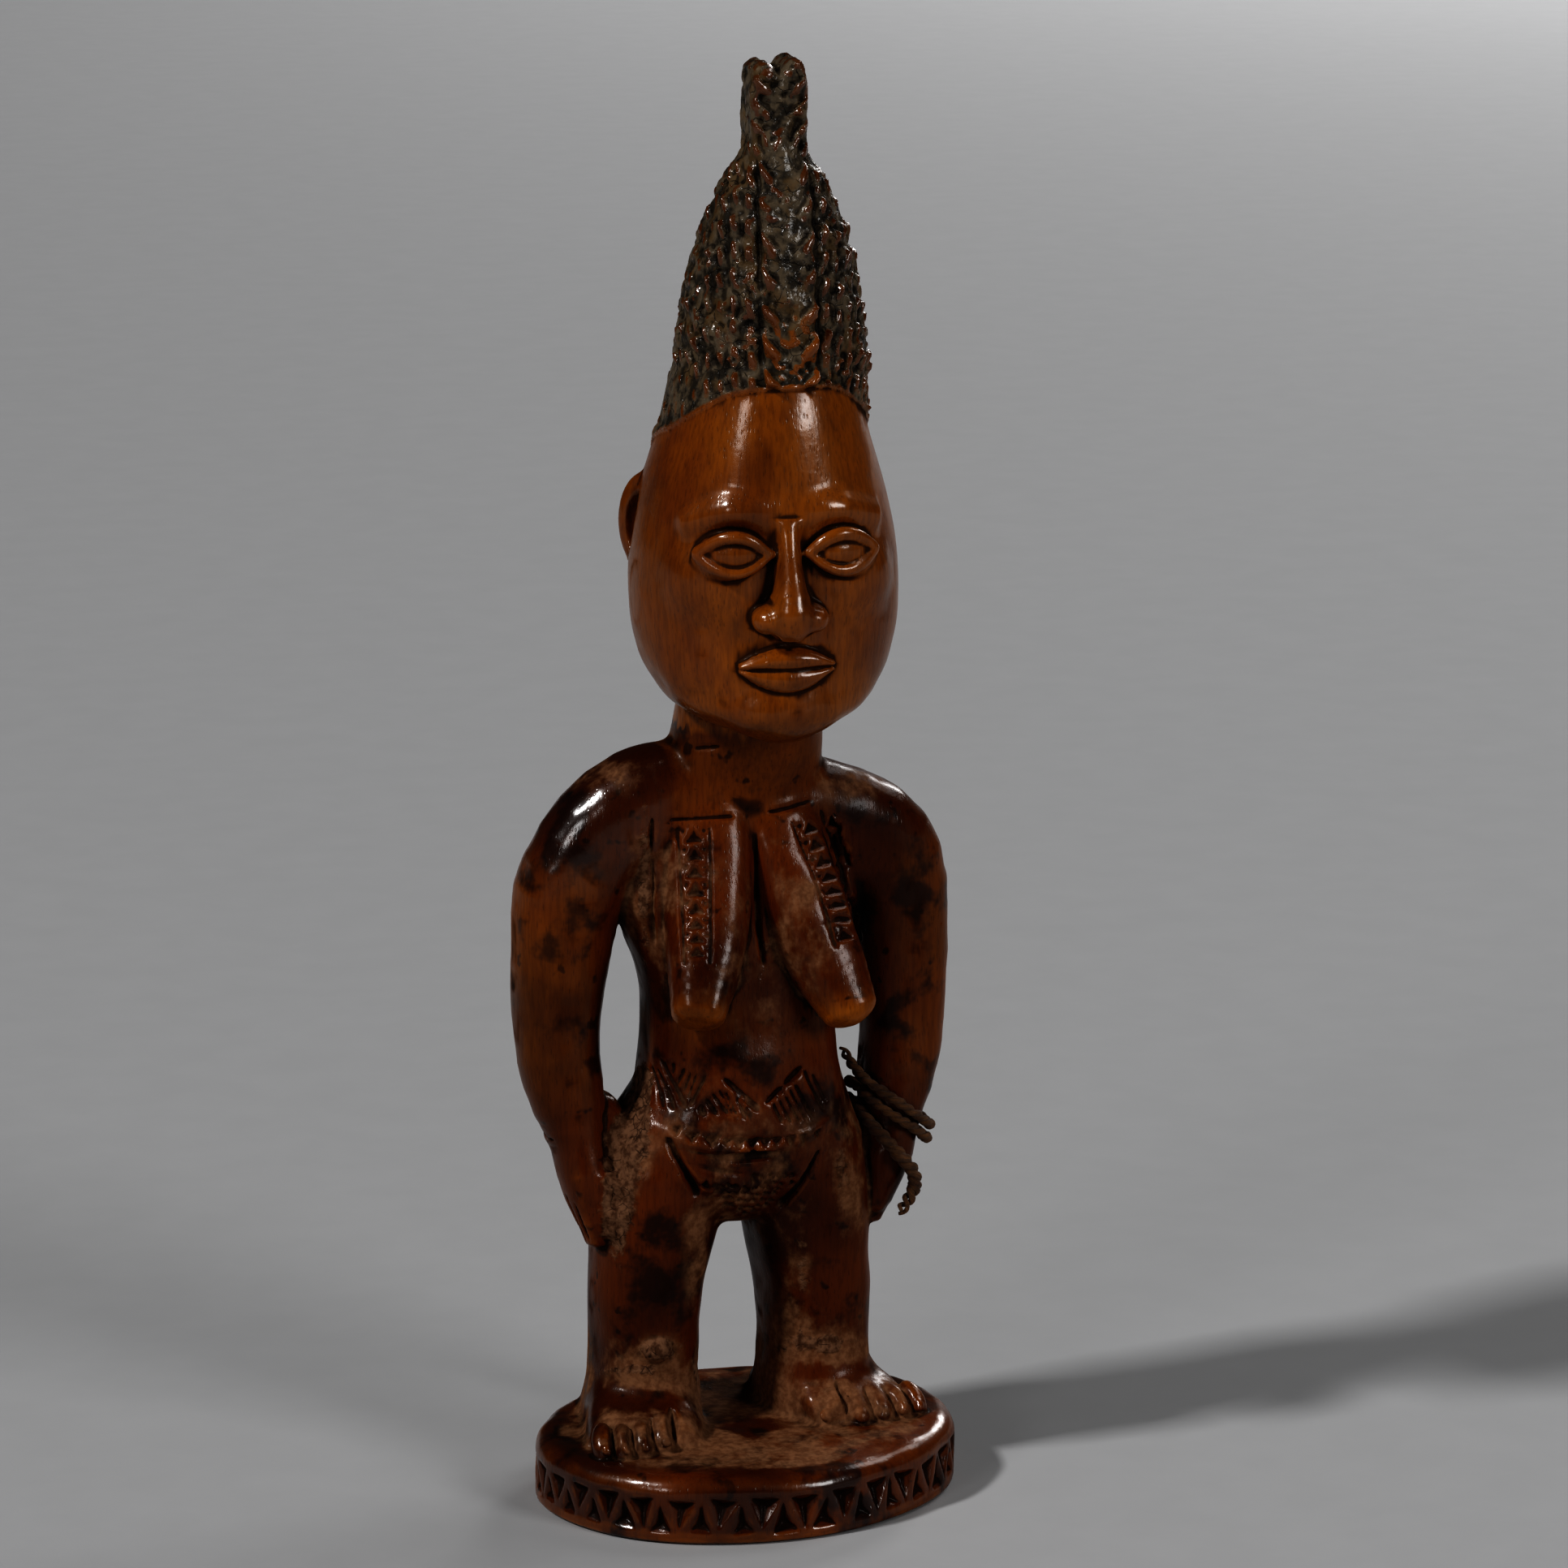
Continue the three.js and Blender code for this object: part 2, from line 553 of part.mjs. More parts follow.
function makeHair() {
  const form = smoothRun(hairKeys);
  const heightOf = (share) => form(share)[2];
  const shareAt = (z) => THREE.MathUtils.inverseLerp(heightOf(0), heightOf(1), z);
  const columns = 32;
  const rows = 15;
  const lobe = 0.95;

  function place(turn, rise, reach) {
    const facing = (1 - Math.sin(turn)) / 2; // 1 at the forehead and 0 at the nape
    const hem = THREE.MathUtils.lerp(179, HAIRLINE_Z, THREE.MathUtils.smoothstep(facing, 0.1, 0.97));
    const z = THREE.MathUtils.lerp(hem, 257, rise);
    const values = form(THREE.MathUtils.clamp(shareAt(z), 0, 1));
    const column = Math.round((turn / (2 * Math.PI)) * columns);
    const row = Math.round(rise * rows);
    const fromFront = Math.abs(column + columns / 4);
    const raised = (column + row) % 2 === 0 && row > 0 && row < rows;
    const knob = fromFront === 0 ? 0.4 : raised ? lobe : -0.3;
    const cos = Math.cos(turn);
    const sin = Math.sin(turn);
    const wide = (values[3] + knob) * cos * reach;
    const deep = ((sin < 0 ? values[4] : values[5]) + knob) * sin * reach;
    return new THREE.Vector3(values[0] + wide, values[1] + deep, z).multiplyScalar(UNIT);
  }
  return onHead(turnDiagonals(closedSkin(columns, rows, place), columns, rows));
}

function makeCrestBlock() {
  const top = 267;
  const outline = new THREE.Shape();
  outline.moveTo(-BLOCK_HALF, 246);
  outline.lineTo(BLOCK_HALF, 246);
  outline.lineTo(BLOCK_HALF, top - 4.4);
  outline.quadraticCurveTo(BLOCK_HALF, top, BLOCK_HALF * 0.55, top);
  outline.quadraticCurveTo(BLOCK_HALF * 0.2, top - 0.6, 0, top - 2.6);
  outline.quadraticCurveTo(-BLOCK_HALF * 0.25, top - 1.4, -BLOCK_HALF * 0.6, top - 0.8);
  outline.quadraticCurveTo(-BLOCK_HALF, top - 1.2, -BLOCK_HALF, top - 5);
  outline.closePath();
  const options = { depth: BLOCK_DEPTH, bevelEnabled: false, curveSegments: 4 };
  const block = new THREE.ExtrudeGeometry(outline, options);
  block.rotateX(Math.PI / 2);
  block.translate(BLOCK_X, BLOCK_FRONT + BLOCK_DEPTH, 0);
  block.scale(UNIT, UNIT, UNIT);
  const frontY = BLOCK_FRONT * UNIT;
  let body = solidOf(block);
  const cuts = [];
  for (let i = 0; i < 5; i += 1) {
    const point = new THREE.Vector3(BLOCK_X * UNIT, frontY, (262.5 - i * 3.7) * UNIT);
    cuts.push(gouge(point, BACK, UP.clone().negate(), 3.2 * UNIT, 6.4 * UNIT, 1.1 * UNIT, 3));
  }
  body = cutBy(body, cuts);
  return onHead(geometryOf(body));
}

// The cord's centre line from its upper frayed end in the gap beside the trunk: two turns down
// round the wrist, then over the back of the hand to the lower frayed end.
const CORD_ROUTE = [
  [22.5, 8.4, 83.8],
  [24, 4.4, 80.4],
  [26.2, 0.4, 78.1],
  [29.4, -2.6, 75.9],
  [33.4, -3.1, 72.8],
  [36.9, -1.3, 70],
  [38.6, 3.6, 68.5],
  [38.5, 9, 68.9],
  [36, 14, 70.6],
  [30.4, 15.6, 73],
  [26, 13.4, 75.2],
  [24.2, 8.8, 77],
  [24.4, 4.4, 76.8],
  [26.1, 0, 75],
  [29.2, -3, 72.7],
  [33.5, -3.2, 69.7],
  [36.6, -1.4, 67.2],
  [37.7, 3.6, 66],
  [37.6, 8.8, 66.3],
  [35.2, 13.7, 67.9],
  [29.8, 14.9, 69.9],
  [25.8, 12.8, 72],
  [23.9, 8.4, 73.8],
  [23.9, 3.6, 73.4],
  [25.4, -0.6, 70.8],
  [27.5, -3.6, 67.9],
  [30.4, -5, 64.5],
  [32.7, -4.9, 61.4],
  [33, -4.7, 58.4],
  [31.3, -5.2, 55.8],
  [29.5, -6.4, 54],
];

// Where the figure stands on its base.
const STANCE = [0.4, 2.5];

const breasts = SIDES.map(makeBreast);
const bodyParts = [trunk.solid(18, 15), ...makeBelt(), ...breasts.map((breast) => breast.solid)];
const notches = [...bellyCuts(), ...breasts.flatMap((breast) => breast.notches)];
const limbs = SIDES.flatMap((side) => [makeLeg(side), makeFoot(side), makeArm(side)]);
const body = cutBy(joined(bodyParts), notches);
const head = joined([makeHead(), makeHair(), makeCrestBlock()]);
const standing = joined([body, ...limbs, head]).translate([...STANCE, BASE_HEIGHT]);
const carved = standing.add(makeBase());

const wood = new THREE.MeshStandardMaterial({ color: 0x4a2413, roughness: 0.38, metalness: 0 });
const figure = new THREE.Mesh(geometryOf(carved), wood);
figure.name = "figure";

// The cord is a closed tube along its route, with a section set every two diameters.
function makeCord() {
  const route = new THREE.CatmullRomCurve3(CORD_ROUTE.map((point) => new THREE.Vector3(...point)));
  const section = new THREE.Shape();
  const sides = 8;
  for (let i = 0; i < sides; i += 1) {
    const angle = (i / sides) * 2 * Math.PI;
    const x = (CORD_DIAMETER / 2) * Math.cos(angle);
    const y = (CORD_DIAMETER / 2) * Math.sin(angle);
    if (i === 0) section.moveTo(x, y);
    else section.lineTo(x, y);
  }
  section.closePath();
  const steps = Math.round(route.getLength() / (CORD_DIAMETER * 2));
  return new THREE.ExtrudeGeometry(section, { steps, bevelEnabled: false, extrudePath: route });
}

const fibre = new THREE.MeshStandardMaterial({ color: 0x6b4a26, roughness: 0.95, metalness: 0 });
const wristCord = new THREE.Mesh(makeCord(), fibre);
wristCord.name = "wrist_cord";

const part = new THREE.Group();
part.add(figure, wristCord);

export default part;
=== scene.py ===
import math

import bpy
import numpy as np
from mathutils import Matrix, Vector


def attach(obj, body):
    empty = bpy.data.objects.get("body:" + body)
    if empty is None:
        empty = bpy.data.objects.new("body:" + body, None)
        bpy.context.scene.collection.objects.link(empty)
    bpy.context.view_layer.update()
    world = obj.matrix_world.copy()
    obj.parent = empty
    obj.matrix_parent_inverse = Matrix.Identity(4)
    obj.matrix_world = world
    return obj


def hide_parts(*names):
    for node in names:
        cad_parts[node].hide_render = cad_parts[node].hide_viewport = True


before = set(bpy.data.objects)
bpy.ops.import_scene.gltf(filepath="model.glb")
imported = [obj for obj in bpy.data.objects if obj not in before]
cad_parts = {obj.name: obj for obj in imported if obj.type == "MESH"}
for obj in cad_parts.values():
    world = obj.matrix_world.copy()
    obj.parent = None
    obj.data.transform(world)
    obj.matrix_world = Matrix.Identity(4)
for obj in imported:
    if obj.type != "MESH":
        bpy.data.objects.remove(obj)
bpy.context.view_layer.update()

# The viewpoint. The figure is seen from its right front, a little from above, through a long lens
# that stands 1.2 m off and looks at a point half way up the figure. Lengths are in millimetres.
metres = 0.001
view_turn, view_rise = math.radians(-18), math.radians(13)
view_distance = 1200.0
frame_half, lens_length = 966.0, 7763.0
film_width = 36.0
view_aim = np.array([7.13, -2.32, 140.0])
view_back = np.array([
    math.sin(view_turn) * math.cos(view_rise),
    -math.cos(view_turn) * math.cos(view_rise),
    math.sin(view_rise),
])
view_right = np.array([math.cos(view_turn), math.sin(view_turn), 0.0])
view_up = np.cross(view_back, view_right)
eye = view_aim + view_back * view_distance


def add_aimed(name, data, place, ahead):
    """A new object that stands at a place in metres and looks ahead."""
    made = bpy.data.objects.new(name, data)
    bpy.context.scene.collection.objects.link(made)
    made.location = place
    made.rotation_mode = "QUATERNION"
    made.rotation_quaternion = Vector(ahead).to_track_quat("-Z", "Y")
    return made


camera_data = bpy.data.cameras.new("studio camera")
camera_data.sensor_width = film_width
camera_data.lens = film_width * lens_length / (2 * frame_half)
camera_data.clip_start, camera_data.clip_end = 0.05, 50.0
bpy.context.scene.camera = add_aimed("studio camera", camera_data, Vector(eye) * metres, -view_back)

# The cord round the left wrist. It is a limp two-ply twine of brown plant fibre, wound twice round
# the wrist and laid over the back of the hand, and both of its ends are frayed.
cord_route = np.array([
    (22.5, 8.4, 83.8), (24, 4.4, 80.4), (26.2, 0.4, 78.1), (29.4, -2.6, 75.9),
    (33.4, -3.1, 72.8), (36.9, -1.3, 70), (38.6, 3.6, 68.5), (38.5, 9, 68.9),
    (36, 14, 70.6), (30.4, 15.6, 73), (26, 13.4, 75.2), (24.2, 8.8, 77),
    (24.4, 4.4, 76.8), (26.1, 0, 75), (29.2, -3, 72.7), (33.5, -3.2, 69.7),
    (36.6, -1.4, 67.2), (37.7, 3.6, 66), (37.6, 8.8, 66.3), (35.2, 13.7, 67.9),
    (29.8, 14.9, 69.9), (25.8, 12.8, 72), (23.9, 8.4, 73.8), (23.9, 3.6, 73.4),
    (25.4, -0.6, 70.8), (27.5, -3.6, 67.9), (30.4, -5, 64.5), (32.7, -4.9, 61.4),
    (33, -4.7, 58.4), (31.3, -5.2, 55.8), (29.5, -6.4, 54),
])
cord_diameter, ply_radius, ply_sides, lay_length = 2.0, 0.64, 10, 4.6
cord_stations = 620
off_cord = np.array([0.15, 0.1, 1.0])


def values_along(places, values, wanted):
    """Smooth values between keys that stand at the given places."""
    slope = np.gradient(values, places, axis=0)
    i = np.clip(np.searchsorted(places, wanted, side="right") - 1, 0, len(places) - 2)
    span = (places[i + 1] - places[i])[:, None]
    t = (np.clip(wanted, places[0], places[-1]) - places[i])[:, None] / span
    return (
        (2 * t**3 - 3 * t**2 + 1) * values[i]
        + (t**3 - 2 * t**2 + t) * span * slope[i]
        + (3 * t**2 - 2 * t**3) * values[i + 1]
        + (t**3 - t**2) * span * slope[i + 1]
    )


def evenly_along(keys, count):
    """The keys' values at evenly spaced places along the line through their first three."""
    keys = np.asarray(keys, float)
    steps = np.linalg.norm(np.diff(keys[:, :3], axis=0), axis=1)
    places = np.concatenate([[0.0], np.cumsum(steps)])
    return values_along(places, keys, np.linspace(0, places[-1], count))


def unit(vectors):
    return vectors / np.maximum(np.linalg.norm(vectors, axis=-1, keepdims=True), 1e-9)


def mesh_object(name, points, faces):
    """A new object from points in millimetres and a list of faces of one size."""
    mesh = bpy.data.meshes.new(name)
    faces = np.asarray(faces, np.int32)
    mesh.vertices.add(len(points))
    mesh.vertices.foreach_set("co", (np.asarray(points) * metres).astype(np.float32).ravel())
    mesh.loops.add(faces.size)
    mesh.loops.foreach_set("vertex_index", faces.ravel())
    mesh.polygons.add(len(faces))
    mesh.polygons.foreach_set("loop_start", np.arange(len(faces), dtype=np.int32) * faces.shape[1])
    mesh.update(calc_edges=True)
    mesh.polygons.foreach_set("use_smooth", np.ones(len(faces), bool))
    shown = bpy.data.objects.new(name, mesh)
    bpy.context.scene.collection.objects.link(shown)
    return shown


def keep_values(mesh, name, values):
    """Keeps one number for each point of a mesh, for materials and fibres to read."""
    mesh.attributes.new(name, "FLOAT", "POINT").data.foreach_set("value", values.astype(np.float32))


def strand_tube(centres, radii, sides):
    """The points and triangles of a closed round tube along a strand."""
    ahead = unit(np.gradient(centres, axis=0))
    side = unit(np.cross(ahead, off_cord))
    rise = np.cross(side, ahead)
    angles = (np.arange(sides) / sides * 2 * np.pi)[:, None]
    ring = np.cos(angles) * side[:, None] + np.sin(angles) * rise[:, None]
    ring = centres[:, None] + radii[:, None, None] * ring
    points = np.concatenate([ring.reshape(-1, 3), centres[:1], centres[-1:]])
    last, first_pole, end_pole = (len(centres) - 1) * sides, len(points) - 2, len(points) - 1
    turn = np.arange(sides)
    after = (turn + 1) % sides
    row = np.arange(0, last, sides)[:, None]
    walls = [
        np.stack([row + turn, row + after, row + sides + after], -1).reshape(-1, 3),
        np.stack([row + turn, row + sides + after, row + sides + turn], -1).reshape(-1, 3),
    ]
    caps = [
        np.stack([np.full(sides, first_pole), after, turn], -1),
        np.stack([np.full(sides, end_pole), last + turn, last + after], -1),
    ]
    return points, np.concatenate(walls + caps)


cord_line = evenly_along(cord_route, cord_stations)
cord_length = np.linalg.norm(np.diff(cord_line, axis=0), axis=1).sum()
cord_share = np.linspace(0, 1, cord_stations)
cord_ahead = unit(np.gradient(cord_line, axis=0))
cord_side = unit(np.cross(cord_ahead, off_cord))
cord_rise = np.cross(cord_side, cord_ahead)
fray = np.clip((cord_share - 0.955) / 0.045, 0, 1) + np.clip((0.03 - cord_share) / 0.03, 0, 1)
loosened = 1 + 0.34 * np.clip((cord_share - 0.8) / 0.08, 0, 1)
cord_points, cord_faces, cord_count = [], [], 0
cord_random = np.random.default_rng(4)
for ply in range(2):
    angle = (cord_share * cord_length / lay_length * 2 * np.pi + ply * np.pi)[:, None]
    wander = np.interp(cord_share, np.linspace(0, 1, 60), cord_random.normal(0, 0.05, 60))
    offset = (cord_diameter * 0.21 * loosened * (1 + 0.6 * fray) + wander)[:, None]
    centres = cord_line + offset * (np.cos(angle) * cord_side + np.sin(angle) * cord_rise)
    swell = np.interp(cord_share, np.linspace(0, 1, 120), cord_random.normal(1, 0.07, 120))
    radii = ply_radius * swell * loosened * (1 - 0.6 * fray)
    points, faces = strand_tube(centres, radii, ply_sides)
    cord_points.append(points)
    cord_faces.append(faces + cord_count)
    cord_count += len(points)
twine = mesh_object("wrist_cord_twine", np.concatenate(cord_points), np.concatenate(cord_faces))
ply_side = np.concatenate([np.tile(np.arange(ply_sides) / ply_sides, cord_stations), [0, 0]])
ply_place = np.concatenate([np.repeat(cord_share * cord_length, ply_sides), [0, cord_length]])
fuzz_places, fuzz_amounts = [0, 0.03, 0.06, 0.93, 0.97, 1], [1.6, 1.2, 0.14, 0.2, 1.2, 1.6]
fuzz_mask = np.interp(ply_place / cord_length, fuzz_places, fuzz_amounts)
for label, values in (("ply place", ply_place), ("ply side", ply_side), ("fuzz", fuzz_mask)):
    keep_values(twine.data, label, np.tile(values, 2))


def connect(made, values):
    """Links outputs to a node's inputs, or sets the inputs to constants."""
    for key, value in values.items():
        if isinstance(value, bpy.types.NodeSocket):
            tree.links.new(value, made.inputs[key])
        else:
            made.inputs[key].default_value = value


def node(kind, values=None, **settings):
    """A new node of the tree that is being built, with its own settings and its inputs."""
    made = tree.nodes.new(kind)
    for key, value in settings.items():
        setattr(made, key, value)
    connect(made, values or {})
    return made


def maths(kind, first, second, clamp=False):
    return node("ShaderNodeMath", {0: first, 1: second}, operation=kind, use_clamp=clamp).outputs[0]


def times(first, second, clamp=False):
    return maths("MULTIPLY", first, second, clamp)


def plus(first, second, clamp=False):
    return maths("ADD", first, second, clamp)


def minus(first, second, clamp=False):
    return maths("SUBTRACT", first, second, clamp)


def blend(share, first, second):
    """A mix of two colours."""
    first, second = ((*c, 1) if isinstance(c, tuple) else c for c in (first, second))
    return node(
        "ShaderNodeMix", {0: share, 6: first, 7: second}, data_type="RGBA", clamp_factor=True
    ).outputs[2]


def eased(value, low, high, out_low=0.0, out_high=1.0):
    """A smooth step of a value from low to high."""
    return node(
        "ShaderNodeMapRange",
        {0: value, 1: low, 2: high, 3: out_low, 4: out_high},
        interpolation_type="SMOOTHSTEP",
    ).outputs[0]


def noise(where, scale, detail=3.0, rough=0.55):
    values = {"Vector": where, "Scale": scale, "Detail": detail, "Roughness": rough}
    return node("ShaderNodeTexNoise", values).outputs["Fac"]


def kept_value(name):
    """What keep_values kept for the points of a mesh under a name."""
    return node("ShaderNodeAttribute", attribute_name=name).outputs["Fac"]


def new_material(name):
    """A new material, its node tree, its shader and the place that its patterns read."""
    material = bpy.data.materials.new(name)
    material.use_nodes = True
    nodes = material.node_tree.nodes
    where = nodes.new("ShaderNodeTexCoord").outputs["Object"]
    return material, material.node_tree, nodes["Principled BSDF"], where


dust = bpy.data.node_groups.new("settled dust", "ShaderNodeTree")
for label, way, kind in (
    ("Vector", "INPUT", "Vector"), ("Colour", "OUTPUT", "Color"),
    ("Patches", "OUTPUT", "Float"), ("Grains", "OUTPUT", "Float"),
):
    dust.interface.new_socket(label, in_out=way, socket_type="NodeSocket" + kind)
tree = dust
dust_where = node("NodeGroupInput").outputs["Vector"]
dust_patches = noise(dust_where, 330.0, 3.0, 0.6)
dust_grains = noise(dust_where, 720.0, 2.0, 0.6)
dust_tone = blend(eased(dust_grains, 0.32, 0.66), (0.08, 0.038, 0.02), (0.2, 0.112, 0.066))
node("NodeGroupOutput", {"Colour": dust_tone, "Patches": dust_patches, "Grains": dust_grains})

fibre, tree, shader, where = new_material("brown plant fibre")
along_ply = node("ShaderNodeCombineXYZ", {
    0: times(kept_value("ply place"), 0.35), 1: times(kept_value("ply side"), 34.0),
}).outputs[0]
filaments = noise(along_ply, 1.0, 4.0, 0.7)
patches = noise(where, 190.0, 3.0)
dirt = eased(noise(where, 420.0, 4.0, 0.7), 0.46, 0.66)
on_cord = node("ShaderNodeGroup", {"Vector": where}, node_tree=dust).outputs
colour = blend(eased(filaments, 0.32, 0.7), (0.06, 0.025, 0.009), (0.26, 0.125, 0.045))
colour = blend(eased(patches, 0.42, 0.68), colour, (0.09, 0.038, 0.014))
colour = blend(times(dirt, 0.45), colour, (0.02, 0.012, 0.009))
colour = blend(times(eased(on_cord["Patches"], 0.48, 0.66), 0.35), colour, on_cord["Colour"])
relief = node("ShaderNodeBump", {"Strength": 0.8, "Distance": 0.00025, "Height": filaments})
connect(shader, {
    "Base Color": colour,
    "Roughness": eased(filaments, 0.3, 0.7, 0.72, 0.92),
    "Sheen Weight": 0.12,
    "Sheen Roughness": 0.5,
    "Normal": relief.outputs[0],
})
twine.data.materials.append(fibre)

fuzz = tree = bpy.data.node_groups.new("frayed fibres", "GeometryNodeTree")
fuzz.is_modifier = True
fuzz.interface.new_socket("Geometry", in_out="INPUT", socket_type="NodeSocketGeometry")
fuzz_inputs = []
for label, kind, value in (
    ("Fibres per square metre", "NodeSocketFloat", 1.9e6),
    ("Fibre length", "NodeSocketFloat", 0.0011),
    ("Fibre thickness", "NodeSocketFloat", 0.000028),
    ("Seed", "NodeSocketInt", 11),
):
    made = fuzz.interface.new_socket(label, in_out="INPUT", socket_type=kind)
    made.default_value = value
    fuzz_inputs.append((made.identifier, value))
fuzz.interface.new_socket("Geometry", in_out="OUTPUT", socket_type="NodeSocketGeometry")
entry = node("NodeGroupInput").outputs
mask = node("GeometryNodeInputNamedAttribute", {"Name": "fuzz"}, data_type="FLOAT").outputs[0]
scattered = node(
    "GeometryNodeDistributePointsOnFaces",
    {
        "Mesh": entry["Geometry"],
        "Density": times(mask, entry["Fibres per square metre"]),
        "Seed": entry["Seed"],
    },
    distribute_method="RANDOM",
).outputs
fibre_hair = node("GeometryNodeMeshCone", {
    "Vertices": 3,
    "Side Segments": 3,
    "Radius Top": 0.0,
    "Radius Bottom": entry["Fibre thickness"],
    "Depth": entry["Fibre length"],
}).outputs["Mesh"]
position = node("GeometryNodeInputPosition").outputs[0]
height = node("ShaderNodeSeparateXYZ", {0: position}).outputs[2]
lean = node("ShaderNodeCombineXYZ", {0: times(times(height, height), 260.0)}).outputs[0]
bent = node("GeometryNodeSetPosition", {"Geometry": fibre_hair, "Offset": lean}).outputs[0]
turn = node(
    "FunctionNodeRandomValue",
    {0: (-0.9, -0.9, 0.0), 1: (0.9, 0.9, 6.28), "Seed": entry["Seed"]},
    data_type="FLOAT_VECTOR",
).outputs[0]
turned_fibre = node(
    "FunctionNodeRotateRotation",
    {0: scattered["Rotation"], 1: node("FunctionNodeEulerToRotation", {0: turn}).outputs[0]},
    rotation_space="LOCAL",
).outputs[0]
size = node(
    "FunctionNodeRandomValue", {2: 0.35, 3: 1.0, "Seed": entry["Seed"]}, data_type="FLOAT"
).outputs[1]
laid = node("GeometryNodeInstanceOnPoints", {
    "Points": scattered["Points"], "Instance": bent, "Rotation": turned_fibre, "Scale": size,
}).outputs[0]
together = node("GeometryNodeJoinGeometry")
fuzz.links.new(node("GeometryNodeRealizeInstances", {0: laid}).outputs[0], together.inputs[0])
fuzz.links.new(entry["Geometry"], together.inputs[0])
finished = node("GeometryNodeSetMaterial", {"Geometry": together.outputs[0], "Material": fibre})
node("NodeGroupOutput", {0: finished.outputs[0]})
fuzz_modifier = twine.modifiers.new("frayed fibres", "NODES")
fuzz_modifier.node_group = fuzz
for identifier, value in fuzz_inputs:
    fuzz_modifier[identifier] = value


def made_plain(shown, name):
    """The object with its modifiers turned into a plain mesh, under its final name."""
    graph = bpy.context.evaluated_depsgraph_get()
    mesh = bpy.data.meshes.new_from_object(shown.evaluated_get(graph))
    shown.modifiers.clear()
    old = shown.data
    shown.data = mesh
    bpy.data.meshes.remove(old)
    shown.name = name
    mesh.name = name


made_plain(twine, "twisted_wrist_cord")
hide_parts("wrist_cord")
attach(twine, "root")

# The figure. It is carved with its round base from one block of close-grained hardwood, so it is
# shaped here as a block is: a field of distances in millimetres, measured from the soles, to which
# each mass is added and from which each cut is taken. The skin of the field is the wood's surface.
grain_pitch = 0.42
stance = np.array([0.4, 2.5, 13.0])
block_low = np.array([-45.5, -42.0, -14.5])
block_high = np.array([45.0, 35.5, 269.0])
block_size = np.ceil((block_high - block_low) / grain_pitch).astype(int)
grid_x, grid_y, grid_z = (block_low[k] + np.arange(block_size[k]) * grain_pitch for k in range(3))
outside = 9.0
wood = np.full(block_size, outside, np.float32)
corners = np.array([(c & 1, c >> 1 & 1, c >> 2 & 1) for c in range(8)])


def region(low, high):
    """The part of the block between two corners: its place in the block, and its coordinates."""
    start = np.floor((np.asarray(low) - block_low) / grain_pitch).astype(int)
    stop = np.ceil((np.asarray(high) - block_low) / grain_pitch).astype(int) + 1
    start, stop = (np.clip(end, 0, block_size) for end in (start, stop))
    part = tuple(slice(a, b) for a, b in zip(start, stop))
    x = grid_x[part[0]].astype(np.float32)[:, None, None]
    y = grid_y[part[1]].astype(np.float32)[None, :, None]
    z = grid_z[part[2]].astype(np.float32)[None, None, :]
    return part, x, y, z


def turned(x, y, angle):
    """Two coordinates, read from axes that are turned by an angle."""
    return x * math.cos(angle) + y * math.sin(angle), y * math.cos(angle) - x * math.sin(angle)


def soft_min(first, second, reach):
    overlap = np.maximum(reach - np.abs(first - second), 0)
    return np.minimum(first, second) - overlap * overlap * (0.25 / reach)


def soft_max(first, second, reach):
    return -soft_min(-first, -second, reach)


def add_wood(part, distance, reach):
    wood[part] = soft_min(wood[part], distance, reach)


def cut_wood(part, distance, reach):
    wood[part] = soft_max(wood[part], -distance, reach)


def gap_outside(ratio, middle, inner):
    """How far out of a round form a point is, from its share of the way to the surface."""
    core = 0.02
    return np.where(ratio < core, -inner, middle - middle / np.maximum(ratio, core))


def section_gap(u, v, wide, near, far, square):
    """How far a point is outside an oval or squarish section, measured from its middle."""
    depth = np.where(v < 0, near, far)
    ratio = ((np.abs(u) / wide) ** square + (np.abs(v) / depth) ** square) ** (1 / square)
    return gap_outside(ratio, np.sqrt(u * u + v * v), np.minimum(wide, depth))


def add_stack(keys, square, reach, foot=1.0, head=1.0, place=(0.0, 0.0), turn=0.0):
    """Adds level sections through keys of x, y, z, half width, near and far half depth."""
    keys = np.asarray(keys, float)
    spread = keys[:, 3:].max() + 4
    low = keys[:, :3].min(0) - (spread, spread, 2)
    high = keys[:, :3].max(0) + (spread, spread, 2)
    low[:2] += place
    high[:2] += place
    part, x, y, z = region(low, high)
    x, y = turned(x - place[0], y - place[1], turn)
    rows = values_along(keys[:, 2], keys, z.ravel().astype(float)).astype(np.float32)
    cx, cy, _, wide, near, far = (rows[:, k][None, None, :] for k in range(6))
    body = section_gap(x - cx, y - cy, wide, near, far, square)
    body = soft_max(body, keys[0, 2] - z, foot)
    add_wood(part, soft_max(body, z - keys[-1, 2], head), reach)


